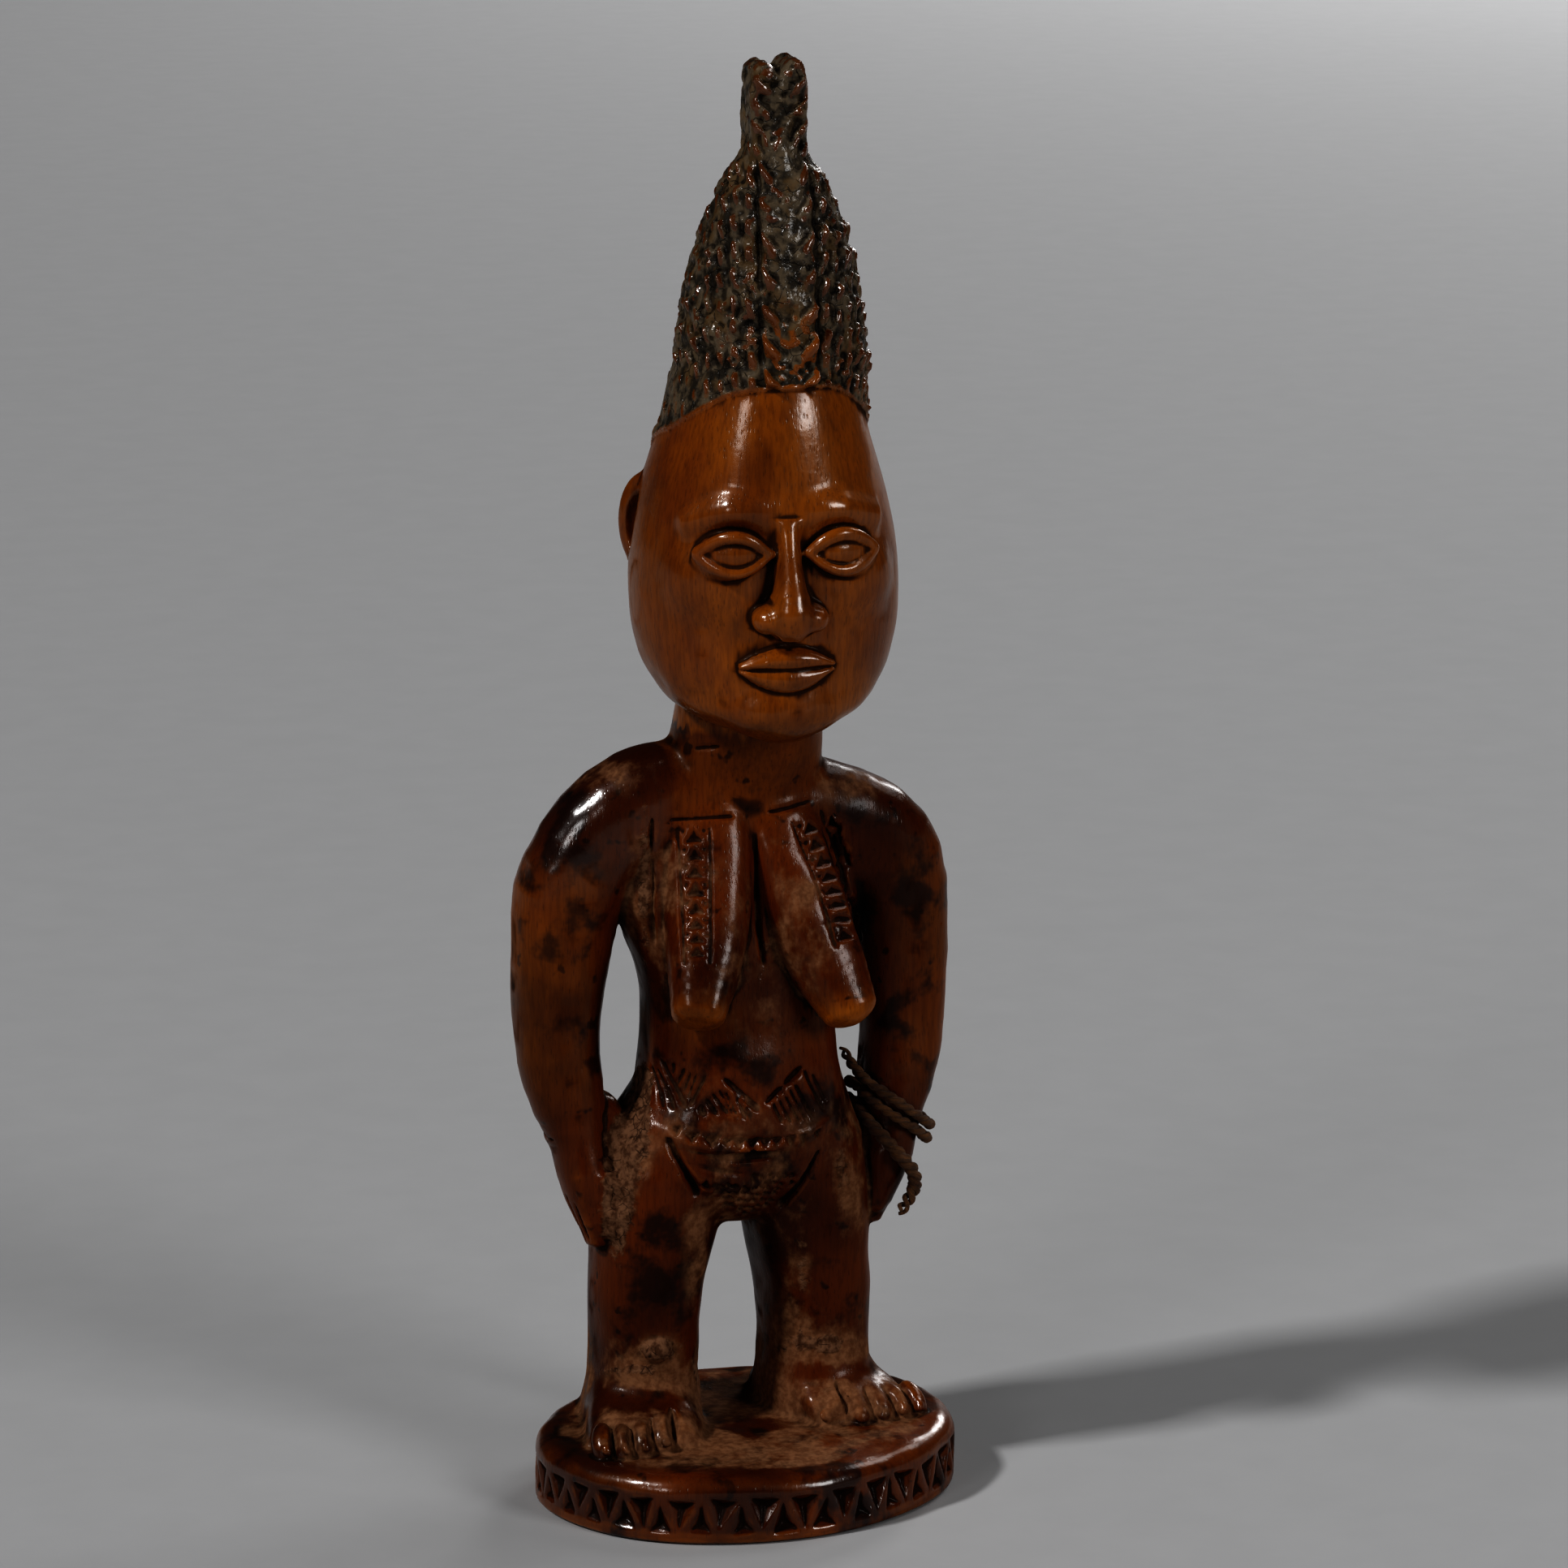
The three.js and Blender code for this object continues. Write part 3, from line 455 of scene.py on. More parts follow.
def add_limb(keys, far=(0, 1, 0), square=2.0, start=0.0, end=0.0, reach=1.0, count=14):
    """Adds a mass that follows keys as add_stack's do, in any direction, with rounded ends."""
    run = evenly_along(keys, count)
    centre = run[:, :3]
    along = unit(np.gradient(centre, axis=0))
    across = unit(np.cross(np.asarray(far, float), along))
    deep = np.cross(along, across)
    spread = run[:, 3:].max(1)[:, None] + 3.0 + max(start, end)
    part, x, y, z = region((centre - spread).min(0), (centre + spread).max(0))
    best = np.full((x.size, y.size, z.size), outside, np.float32)
    origin = np.array([s.start for s in part])
    for i in range(count - 1):
        pair = slice(i, i + 2)
        low, high = centre[pair] - spread[pair], centre[pair] + spread[pair]
        local, *place = region(low.min(0), high.max(0))
        inner = tuple(slice(s.start - o, s.stop - o) for s, o in zip(local, origin))
        step = centre[i + 1] - centre[i]
        ox, oy, oz = (place[k] - centre[i, k] for k in range(3))
        t = np.clip((ox * step[0] + oy * step[1] + oz * step[2]) / (step @ step), 0, 1)
        off = ox - t * step[0], oy - t * step[1], oz - t * step[2]

        def between(values):
            return values[i] + t * (values[i + 1] - values[i])

        u = sum(off[k] * between(across[:, k]) for k in range(3))
        v = sum(off[k] * between(deep[:, k]) for k in range(3))
        s = sum(off[k] * along[i, k] for k in range(3))
        wide, near, deeper = (between(run[:, k]) for k in (3, 4, 5))
        cap = np.minimum(np.minimum(wide, near), deeper)
        if i == 0:
            cap = np.where(t <= 0, max(start, 0.4), cap)
        if i == count - 2:
            cap = np.where(t >= 1, max(end, 0.4), cap)
        depth = np.where(v < 0, near, deeper)
        ratio = (np.abs(u) / wide) ** square + (np.abs(v) / depth) ** square
        ratio = (ratio ** (2 / square) + (s / cap) ** 2) ** 0.5
        middle = np.sqrt(off[0] * off[0] + off[1] * off[1] + off[2] * off[2])
        found = gap_outside(ratio, middle, np.minimum(wide, depth))
        best[inner] = np.minimum(best[inner], found.astype(np.float32))
    add_wood(part, best, reach)


def pebble(centre, size, turn=0.0, tilt=0.0):
    """The field of an ellipsoid, turned about the vertical and tilted about its width."""
    spread = max(size) + 2.5
    part, x, y, z = region(np.asarray(centre) - spread, np.asarray(centre) + spread)
    u, v = turned(x - centre[0], y - centre[1], turn)
    v, w = turned(v, z - centre[2], tilt)
    ratio = np.sqrt((u / size[0]) ** 2 + (v / size[1]) ** 2 + (w / size[2]) ** 2)
    return part, gap_outside(ratio, np.sqrt(u * u + v * v + w * w), min(size))


def field_at(field, points):
    """Values of a field at points, by straight interpolation between its cells."""
    place = np.clip((np.asarray(points) - block_low) / grain_pitch, 0, block_size - 1.001)
    cell = place.astype(np.int32)
    share = (place - cell).astype(np.float32)
    total = 0
    for corner in corners:
        at = cell + corner
        weight = np.where(corner, share, 1 - share).prod(-1)
        total = total + weight * field[at[..., 0], at[..., 1], at[..., 2]]
    return total


def slope_at(points, reach):
    """How fast the wood's field rises along each axis at points."""
    steps = reach * np.eye(3)
    rises = [field_at(wood, points + step) - field_at(wood, points - step) for step in steps]
    return np.stack(rises, -1) / (2 * reach)


def seen_at(pixels):
    """The places on the wood that the view sees at these places of its frame."""
    pixels = np.asarray(pixels, float)
    across = (pixels[..., 0] - frame_half) / lens_length
    rise = (frame_half - pixels[..., 1]) / lens_length
    ray = unit(across[..., None] * view_right + rise[..., None] * view_up - view_back)
    point = (eye - stance) + ray * (view_distance - 75)
    for _ in range(160):
        gap = field_at(wood, point)
        point = point + ray * np.clip(gap * 0.7, -0.5, 4.0)[..., None]
    return point


def along_axes(point, spread, *axes):
    """The part of the block round a point, and its coordinates from there along three axes."""
    part, *place = region(point - spread, point + spread)
    x, y, z = (place[k] - point[k] for k in range(3))
    return part, *(x * axis[0] + y * axis[1] + z * axis[2] for axis in axes)


def stroke(start, finish, width, depth, reach=0.2, inward=None):
    """A V-shaped cut between two points of the surface, deepest at its middle."""
    start, finish = np.asarray(start, float), np.asarray(finish, float)
    middle = (start + finish) / 2
    long = np.linalg.norm(finish - start)
    if long < 0.3:
        return
    along = (finish - start) / long
    inward = -slope_at(middle, 0.8) if inward is None else inward
    inward = unit(inward - along * (inward @ along))
    across = np.cross(along, inward)
    part, s, t, h = along_axes(middle, long / 2 + 2, along, across, inward)
    steep = 2 * depth / width
    floor = depth * np.maximum(1 - (2 * s / long) ** 4, -0.2)
    groove = (np.abs(t) * steep + h - floor) / math.sqrt(1 + steep * steep)
    cut_wood(part, np.maximum(groove, np.maximum(np.abs(s) - long / 2 - 0.3, -h - 1.6)), reach)


def chip(point, along, length, width, depth, inward=None, reach=0.2):
    """A triangular pit that points along, with three sloping sides."""
    point = np.asarray(point, float)
    inward = unit(-slope_at(point, 0.8) if inward is None else np.asarray(inward, float))
    along = np.asarray(along, float)
    along = unit(along - inward * (along @ inward))
    part, s, t, h = along_axes(point, length + 1.5, along, np.cross(along, inward), inward)
    slant = math.hypot(width / 2, length)
    to_side = ((2 / 3 * length - s) * (width / 2) - np.abs(t) * length) / slant
    steep = depth * (width + 2 * slant) / (length * width)
    pit = (h - steep * np.minimum(to_side, s + length / 3)) / math.sqrt(1 + steep * steep)
    cut_wood(part, np.maximum(pit, -h - 1.6), reach)


def cut_line(pixels, pieces, width, depth):
    """A long even cut through places of the view's frame, made of strokes that overlap."""
    pixels = np.asarray(pixels, float)
    steps = np.concatenate([[0], np.cumsum(np.linalg.norm(np.diff(pixels, axis=0), axis=1))])
    wanted = np.linspace(0, steps[-1], pieces + 2)
    points = seen_at(np.stack([np.interp(wanted, steps, pixels[:, k]) for k in range(2)], -1))
    for a, b in zip(points[:-2], points[2:]):
        stroke(a, b, width, depth)


# The base: a low oval block, turned a little from the figure's own front. Its top edge is worn
# round, and a band of chip-cut triangles, hanging and standing in turn, runs round its side.
base_wide, base_deep, base_high = 85.0, 71.0, 13.0
base_turn = math.radians(8)
rim_radius = 3.5
band_foot, band_high, notch_pitch = 1.9, 7.3, 7.6


def base_axes(x, y):
    return turned(x + stance[0], y + stance[1], base_turn)


part, x, y, z = region((-46, -41, -14.5), (46, 36, 4))
u, v = base_axes(x, y)
z = z + base_high
round_turn = np.arctan2(v / base_deep, u / base_wide)
swing = 0.35 * np.sin(3 * round_turn + 1.0) + 0.22 * np.sin(7 * round_turn)
side_gap = section_gap(u, v, base_wide / 2, base_deep / 2, base_deep / 2, 2.0) - swing * 0.5 + 0.42
top_gap = z - base_high - 0.5 * np.maximum(1 - (u / 40) ** 2 - (v / 34) ** 2, 0)
side_over, top_over = side_gap + rim_radius, top_gap + rim_radius
rim = np.sqrt(np.maximum(side_over, 0) ** 2 + np.maximum(top_over, 0) ** 2)
plinth = rim + np.minimum(np.maximum(side_over, top_over), 0) - rim_radius
add_wood(part, soft_max(plinth, 0.2 - z, 0.8), 0.5)
ring = math.pi * (base_wide + base_deep) / 2
notch_count = round(ring / notch_pitch)
base_random = np.random.default_rng(21)
for i in range(notch_count * 2):
    angle = (i + 1) / notch_count * math.pi
    hangs = i % 2 == 0
    sway = base_random.normal(0, 0.28, 3)
    across, deep = math.cos(angle), math.sin(angle)
    place = turned(base_wide / 2 * across, base_deep / 2 * deep, -base_turn)
    out = turned(*unit(np.array([across / base_wide, deep / base_deep])), -base_turn)
    length = band_high * (1.08 + 0.05 * sway[0])
    rise = band_foot + (band_high + 0.4 - length / 3 if hangs else length / 3 - 0.1) + sway[1] * 0.5
    chip(
        (place[0] - stance[0], place[1] - stance[1], rise - base_high),
        (sway[2] * 0.3 * -out[1], sway[2] * 0.3 * out[0], -1 if hangs else 1),
        length,
        ring / notch_count * (1.0 if hangs else 0.86),
        2.4 if hangs else 2.1,
        inward=(-out[0], -out[1], 0),
        reach=0.15,
    )

# The legs and feet: thick plain columns that part in a narrow arch, on broad feet whose toes are
# cut in, each with its nail. A toe's row holds the place of its tip and its half width.
toe_rows = {
    -1: [(-33.0, -18.4, 1.7), (-29.4, -19.4, 1.6), (-25.4, -19.0, 1.7), (-21.0, -18.0, 1.9),
         (-15.8, -15.4, 2.4)],
    1: [(13.4, -12.8, 3.0), (19.6, -14.2, 2.0), (24.2, -13.8, 1.8), (28.4, -12.8, 1.7),
        (32.0, -11.4, 1.6)],
}
heel_y, toe_tilt = 17, 0.72


def moved(keys, side, out=0.0):
    """Keys that are written for the left side, set to a side and moved across."""
    return [(side * row[0] + out, *row[1:]) for row in keys]


for side in (-1, 1):
    out = 0.8 if side < 0 else 1.1
    leg_keys = [
        (11.6, 4.4, 60, 7, 8, 9),
        (13.4, 4.6, 54, 11.6, 14.4, 17.6),
        (14.2, 4.8, 48, 12.7, 15.2, 18),
        (14.7 + out * 0.5, 5, 42, 12.5, 14.6, 16),
        (15.4 + out * 0.4, 5, 34, 11.5, 13.6, 13.6),
        (16.3 + out * 0.7, 5, 25, 10.8, 12.6, 12.2),
        (16.4 + out, 5.4, 14, 10.4, 12, 11.6),
        (16.5 + out, 5, 5, 10.8, 13, 12),
        (16.5 + out, 4.5, -3, 11.2, 14, 12.5),
    ]
    add_stack(moved(leg_keys, side, -1.6)[::-1], 2.4, 1.6, head=3.0)
    heel_x = -1.5 + side * 16.8
    toe_x, toe_y = (-24.0, -12.8) if side < 0 else (22.2, -8.8)
    foot_keys = [
        (
            heel_x + (toe_x - heel_x) * share**1.5, heel_y + (toe_y - heel_y) * share,
            -1.5, wide, 1, high,
        )
        for share, wide, high in (
            (0, 9.6, 8), (0.33, 10.8, 13), (0.62, 11.1, 12.2), (0.82, 11.3, 9.6), (1, 11.0, 7.4)
        )
    ]
    add_limb(foot_keys, far=(0, 0, 1), square=2.8, start=3, end=2, reach=2.2)
    heading = math.atan2(toe_x - heel_x, heel_y - toe_y)
    toes = []
    for tip_x, tip_y, half in toe_rows[side]:
        long = 2.4 + 1.1 * half
        toes.append(np.array([tip_x, tip_y + 0.3 + 0.75 * long, 0.62 * long - 0.2]))
        add_wood(*pebble(toes[-1], (half + 0.5, long, 2.4), heading, toe_tilt), 0.8)
        add_wood(*pebble((tip_x, tip_y + 0.2, 2.4), (half * 0.66, 1.3, 0.75), heading, 0.9), 0.15)
    ahead = np.array([-math.sin(heading), math.cos(heading)])
    into = np.array([*0.66 * ahead, -0.75])
    back = np.array([*0.75 * ahead, 0.66])
    for left, right in zip(toes, toes[1:]):
        between_toes = (left + right) / 2 - 2.0 * into
        stroke(between_toes - 4.4 * back, between_toes + 4.6 * back, 2.0, 1.9, inward=into)

# The trunk and neck, with the hips, the waist and the shoulders' core.
trunk_keys = [
    (-1.6, 5, 40.6, 13.4, 9.8, 12.4),
    (-1.6, 4, 48, 22.6, 14.5, 18),
    (-1.4, 4, 55, 26, 17.2, 20.5),
    (-1, 4, 61, 23.4, 18.1, 18.8),
    (0.1, 4, 68, 20.2, 17.8, 15.6),
    (0, 4, 74, 19.2, 16.9, 14),
    (0, 4, 82, 19, 15, 13),
    (0, 4, 91, 20, 14, 13.3),
    (0, 4, 98, 22.6, 13.6, 14.2),
    (-0.4, 4, 107, 25, 13, 15.2),
    (-0.5, 4, 117, 22, 11.8, 15.2),
    (-0.3, 3.4, 126, 17.4, 11, 14),
    (0.6, 1.6, 134, 14.7, 12, 13.2),
    (1.4, -2, 148, 14, 12, 11),
]
add_stack(trunk_keys, 2.3, 2.0, foot=2.5)

# The arms hang at the sides with open gaps at the waist, and the hands lie on the thighs with the
# thumbs forward. The left shoulder falls away faster than the right one.
arm_keys = [
    (5, 3, 124.5, 10.8, 10, 11.5),
    (17, 3.5, 122.6, 10.8, 9.6, 11),
    (26, 4.2, 116.6, 10.9, 9.2, 10.5),
    (31.4, 5, 108, 10.6, 9, 10),
    (33.5, 6, 96, 9.6, 9, 9.4),
    (34.3, 6.5, 84, 8.4, 9, 9),
    (34, 6, 73, 7.9, 8.6, 8.6),
    (32.6, 4.5, 64, 7.1, 8, 8),
]
hand_keys = {
    -1: [(31.6, 3, 57, 5.0, 7.0, 7.0), (31.0, 2, 51, 4.2, 6.8, 6.6), (29.7, 1, 44, 3.3, 5.2, 5.2),
         (28.8, 0.4, 38.6, 2.0, 3.2, 3.4)],
    1: [(30.6, 3, 57, 5.6, 7.4, 7.4), (29.3, 2, 51, 5.0, 7.8, 7.7), (27.3, 1.4, 44, 4.1, 6.4, 6.6),
        (25.8, 1, 38.6, 2.5, 4.2, 4.4)],
}
thumb_keys = [
    (27.8, -2.6, 52, 1.9, 1.9, 1.9),
    (27.0, -3.8, 46, 1.7, 1.7, 1.7),
    (26.2, -4.0, 41.4, 1.2, 1.2, 1.2),
]
for side, out, web_z, falls in (
    (-1, -1.0, 55, (-0.6, -0.6, -0.6, -0.3)),
    (1, 0.0, 48.5, (2.8, 4.6, 2.6, 0.8)),
):
    keys = [
        (x, y, z - fall, *half)
        for (x, y, z, *half), fall in zip(arm_keys + hand_keys[side], falls + (0,) * 8)
    ]
    add_limb(moved(keys, side, out), square=2.4, end=1.6, reach=1.4, count=24)
    add_limb(moved(thumb_keys, side, out), end=1.0, reach=1.8, count=6)
    add_wood(*pebble((side * 25.4 + out, 5, web_z), (5, 7, 11.5)), 1.4)
    for y in (-2.4, 0.7, 3.8):
        stroke(*moved([(34.4, y, 48.5), (30.4, y * 0.6, 38.5)], side, out), 1.0, 0.8)
    wrist = moved([(38, -4.0, 58.5), (38, 3.0, 58.5), (38, 10.0, 58.5)], side, out)
    for a, b in zip(wrist, wrist[1:]):
        stroke(a, b, 1.6, 0.8)

# The breasts: two long ridged cones that hang from the step of the collar. A strip of chip-cut
# triangles between two lines runs down each one.
for top_x, upper_x, lower_x, tip_x, tip_z, grown, far, square, end in (
    (-7.6, -8.2, -10.0, -13.6, 86.4, 1.0, (0.3, 0.95, 0), 2.7, 3.0),
    (4.5, 6.5, 10.8, 16.4, 84.8, 1.08, (0.5, 0.86, 0), 1.65, 3.4),
):
    keys = [
        (top_x, 0.2, 124, 8.0 * grown, 6.8 * grown, 7),
        (upper_x, -3.6, 112, 8.6 * grown, 7.6 * grown, 8),
        (lower_x, -8.6, 99, 7.9 * grown, 7.6 * grown, 9),
        (tip_x, -15.4, tip_z, 5.2 * grown, 5.4 * grown, 6),
    ]
    add_limb(keys, far=far, square=square, end=end, reach=0.7, count=18)

strip_left = [(854, 1016), (856, 1062), (857, 1108), (858, 1150), (859, 1190)]
strip_right = [(993, 1004), (1009, 1045), (1024, 1086), (1036, 1126), (1046, 1164)]
feet_left = (1018, 1041, 1063, 1084, 1107, 1129, 1147, 1164, 1181)
feet_right = (1008, 1028, 1049, 1070, 1088, 1105, 1122, 1140, 1160)
for line, half_top, half_low, feet in (
    (strip_left, 18.5, 15, feet_left), (strip_right, 18, 13.5, feet_right)
):
    line = np.array(line, float)
    share = np.linspace(0, 1, 41)
    middle = np.stack([np.interp(share * 4, np.arange(5), line[:, k]) for k in range(2)], -1)
    lean = unit(np.gradient(middle, axis=0))
    half = half_top + (half_low - half_top) * share
    normal = np.stack([-lean[:, 1], lean[:, 0]], -1) * half[:, None]
    rungs = np.interp(feet, middle[:, 1], share)
    left_at, right_at, centre = (
        seen_at(np.stack([np.interp(rungs, share, path[:, k]) for k in range(2)], -1))
        for path in (middle + normal, middle - normal, middle)
    )
    for k in range(1, len(feet)):
        low, high = centre[k], centre[k - 1]
        wide = np.linalg.norm(left_at[k] - right_at[k])
        long = np.linalg.norm(high - low)
        chip(low + (high - low) * 0.34, high - low, long * 0.98, wide * 0.96, 1.35, reach=0.12)
        for side_at in (left_at, right_at):
            at = side_at[k - 1] + (centre[k - 1] - side_at[k - 1]) * 0.3 + (low - high) * 0.28
            chip(at, low - high, long * 0.62, wide * 0.36, 0.6, reach=0.12)
    cut_line(middle + normal * 1.08, 14, 1.0, 0.6)
    cut_line(middle - normal * 1.08, 14, 1.0, 0.6)
for pixels, pieces, width, depth in (
    ([(822, 1011), (866, 1008), (906, 1006)], 5, 1.1, 0.7),
    ([(946, 1001), (972, 996), (1000, 986)], 4, 1.1, 0.7),
    ([(930, 1026), (932, 1075), (933, 1120), (938, 1160), (942, 1190)], 10, 1.2, 1.5),
    ([(804, 1006), (801, 1050), (806, 1095), (801, 1140), (806, 1165)], 9, 1.2, 1.1),
    ([(853, 922), (889, 920)], 2, 1.2, 0.4),
):
    cut_line(pixels, pieces, width, depth)

# The carved apron over the belly: fans of long strokes, a smooth raised edge with triangles hung
# from it, a raised crescent, and a field of small scales between the hip creases.
part, x, y, z = region((-28, -24, 40), (24, 2, 70))
from_middle = x + 2.4
for z_belt, sag, wide, thick, lift in ((62.6, 4.2, 20.5, 1.7, 0.8), (53.6, 3.4, 14.5, 2.9, 1.6)):
    across = 1 - (from_middle / wide) ** 2
    swell = np.clip(1 - ((z - z_belt + sag * across) / thick) ** 2, 0, 1)
    swell = swell * np.clip(1.3 * across, 0, 1)
    if thick > 2:
        swell = swell * (1 - 0.75 * np.clip((x + 5.5) / 2, 0, 1))
    wood[part] -= (lift * swell * (y < 1)).astype(np.float32)
belly_strokes = [
    (800, 1310, 816, 1366), (806, 1312, 830, 1368), (810, 1299, 846, 1368), (817, 1306, 821, 1320),
    (831, 1308, 826, 1327), (846, 1314, 828, 1343), (853, 1318, 838, 1351), (860, 1320, 843, 1358),
    (871, 1322, 848, 1365), (888, 1326, 940, 1368), (897, 1332, 938, 1372), (905, 1345, 920, 1381),
    (893, 1342, 912, 1379), (875, 1345, 900, 1376), (884, 1341, 906, 1378), (868, 1352, 884, 1375),
    (861, 1361, 868, 1376), (943, 1361, 966, 1338), (966, 1338, 991, 1312), (952, 1357, 966, 1386),
    (966, 1347, 988, 1386), (979, 1333, 1003, 1381), (990, 1314, 1017, 1371),
    (959, 1352, 977, 1386), (973, 1340, 996, 1384), (1000, 1320, 1020, 1360),
]
for a, b in seen_at(np.array(belly_strokes, float).reshape(-1, 2, 2)):
    stroke(a, b, 1.7, 1.05)
hung = [
    (833, 1387, 1398, 2.2), (853, 1396, 1408, 2.6), (878, 1400, 1418, 3.6), (897, 1402, 1416, 2.8),
    (912, 1402, 1421, 3.4), (928, 1403, 1424, 3.2), (944, 1402, 1419, 3.2), (958, 1401, 1417, 2.6),
    (975, 1399, 1418, 3.0), (990, 1397, 1414, 2.6), (1008, 1392, 1404, 2.8),
]
for across, top, low, wide in hung:
    a, b = seen_at([(across, top), (across, low)])
    chip(a + (b - a) / 3, b - a, np.linalg.norm(b - a) * 1.1, wide, 1.3)
cut_wood(*pebble(seen_at([(922, 1426)])[0], (6.0, 1.3, 1.3)), 0.8)
cut_line([(820, 1402), (840, 1440), (861, 1477)], 6, 1.8, 1.4)
cut_line([(1010, 1415), (992, 1455), (958, 1490)], 6, 1.8, 1.4)
cut_line([(928, 1446), (930, 1462)], 1, 1.6, 1.0)
scale_random = np.random.default_rng(8)
scales = []
for row in range(7):
    for column in range(16):
        across = 848 + column * 10.0 + (row % 2) * 5.0 + scale_random.normal(0, 1.6)
        down = 1452 + row * 7.0 + scale_random.normal(0, 1.2)
        if abs(across - 918) < 66 - row * 8 and (across > 934 or row > 1):
            scales.append((across, down, across + scale_random.normal(0, 1.5), down + 8))
for a, b in seen_at(np.array(scales, float).reshape(-1, 2, 2)):
    chip(a, a - b, 2.2, 2.0, 1.0, reach=0.12)

# The head stands forward on the neck and is turned a little to the figure's right. Brow, nose and
# mouth stand at thirds between the hairline and the chin, and an eye is a fifth of the head wide.
head_place = np.array([1.9, -7.0])
head_turn = math.radians(-7)
chin_z, hairline_z = 141.0, 206.0
face_third = (hairline_z - chin_z) / 3
brow_z = hairline_z - face_third
nose_z = chin_z + face_third
mouth_z = nose_z - face_third / 3
eye_z = brow_z - face_third / 3
head_half = 25.4
eye_wide = head_half * 2 / 5
face_y = -25.0
skull_square = 2.15
skull_keys = [
    (0, -5, chin_z, 9.5, 15.5, 9),
    (0, -3, 145, 17.6, 21, 14),
    (0, -1, 150, 21.8, 23.4, 17),
    (0, 0, 157, 24.4, 24.2, 21),
    (0, 0, 166, head_half, 24.4, 25),
    (0, 0, 177, 24.6, 24.2, 26.6),
    (0, 0, 187, 22.3, 24.6, 26.6),
    (0, 0, 196, 19.6, 23.7, 25.4),
    (0, 0, 204, 17.6, 22.1, 23),
    (0, 0, 212, 15, 20.0, 20),
]


def head_axes(x, y):
    return turned(x - head_place[0], y - head_place[1], head_turn)


def on_head(x, y, z):
    return np.array([*(turned(x, y, -head_turn) + head_place), z])


def add_head_limb(keys, **shape):
    far = on_head(0, 1, 0) - on_head(0, 0, 0)
    add_limb([(*on_head(*row[:3]), *row[3:]) for row in keys], far=far, **shape)


def head_pebble(x, y, z, size, turn=0.0):
    return pebble(on_head(x, y, z), size, turn + head_turn)


add_stack(skull_keys, skull_square, 1.2, foot=3.0, place=head_place, turn=head_turn)
brow_keys = [
    (-17, -17.0, brow_z - 2.2, 2.2, 2.0, 4), (-9, face_y + 2.4, brow_z + 0.4, 2.4, 2.2, 4),
    (0, face_y + 2.6, brow_z - 0.6, 2.2, 1.6, 4), (9, face_y + 2.4, brow_z + 0.4, 2.4, 2.2, 4),
    (17, -17.0, brow_z - 2.2, 2.2, 2.0, 4),
]
add_head_limb(brow_keys, reach=3.2, start=1.5, end=1.5, count=14)
for side in (-1, 1):
    turn = side * 0.42
    eye_x, eye_y = side * eye_wide, face_y + 2.2
    cut_wood(*head_pebble(eye_x, eye_y - 3.6, eye_z, (eye_wide * 0.72, 4, 5.6), turn), 2.0)
    add_wood(*head_pebble(eye_x, eye_y + 0.4, eye_z, (eye_wide * 0.6, 4, 4.1), turn), 0.5)
    for rise, thick in ((3.5, 1.15), (-3.3, 0.95)):
        keys = []
        for i in range(7):
            share = i / 3 - 1
            lid_x = side * (eye_wide + share * eye_wide * 0.62)
            lid_y = eye_y - 3.2 + 2.2 * share * share + 1.7 * share
            keys.append((lid_x, lid_y, eye_z + rise * (1 - share * share), thick, 1, 1.6))
        add_head_limb(keys, start=0.8, end=0.8, reach=0.5, count=12)
    add_wood(*head_pebble(side * 12.5, -17.6, nose_z + 8.5, (7.5, 5.2, 6.5), turn), 5.0)
    add_wood(*head_pebble(side * 4.3, face_y - 1.8, nose_z + 2.5, (2.9, 3.6, 2.7)), 1.8)
    add_wood(*head_pebble(side * 20.8, 8, eye_z + 0.6, (5.4, 3, 9.6), side * 0.35), 1.0)
nose_keys = [
    (0, face_y + 2.4, brow_z - 1.5, 2.6, 3.4, 2),
    (0, face_y + 1.4, eye_z, 2.5, 4.2, 3),
    (0, face_y - 0.4, nose_z + 8, 3.2, 5, 3),
    (0, face_y - 1, nose_z + 3, 4.2, 5.8, 4),
    (0, face_y, nose_z + 0.6, 3.6, 5.2, 4),
]
add_head_limb(nose_keys, square=2.2, end=1, reach=1.8, count=12)
add_wood(*head_pebble(0, face_y - 3.1, nose_z + 2.8, (3.5, 3.6, 3.2)), 1.8)
add_wood(*head_pebble(0, -18.6, chin_z + 5.8, (10.5, 6.4, 6)), 3.0)
for rise, thick, out in ((1.7, 1.9, 2.9), (-2.1, 2.3, 2.6)):
    keys = []
    for i in range(7):
        share = i / 3 - 1
        full = 1 - share * share
        lip_y, lip_z = face_y + 3 - 1.8 * full, mouth_z + rise * (0.35 + 0.65 * full)
        keys.append((share * 8.2, lip_y, lip_z, 0.5 + thick * full, out, 5))
    add_head_limb(keys, start=0.5, end=0.5, reach=0.45, count=14)
for side in (-1, 1):
    cut_wood(*head_pebble(side * 3.4, face_y - 3.0, nose_z - 1.2, (1.2, 1.8, 1.4)), 0.5)
    cut_wood(*head_pebble(side * 23.2, 5.0, eye_z + 1.4, (3.1, 2.8, 6.4), side * 0.35), 0.7)
lip_top, nose_foot = on_head(0, face_y + 0.6, mouth_z + 3.6), on_head(0, face_y + 0.6, nose_z - 1.4)
stroke(lip_top, nose_foot, 2.4, 0.8, reach=0.8)

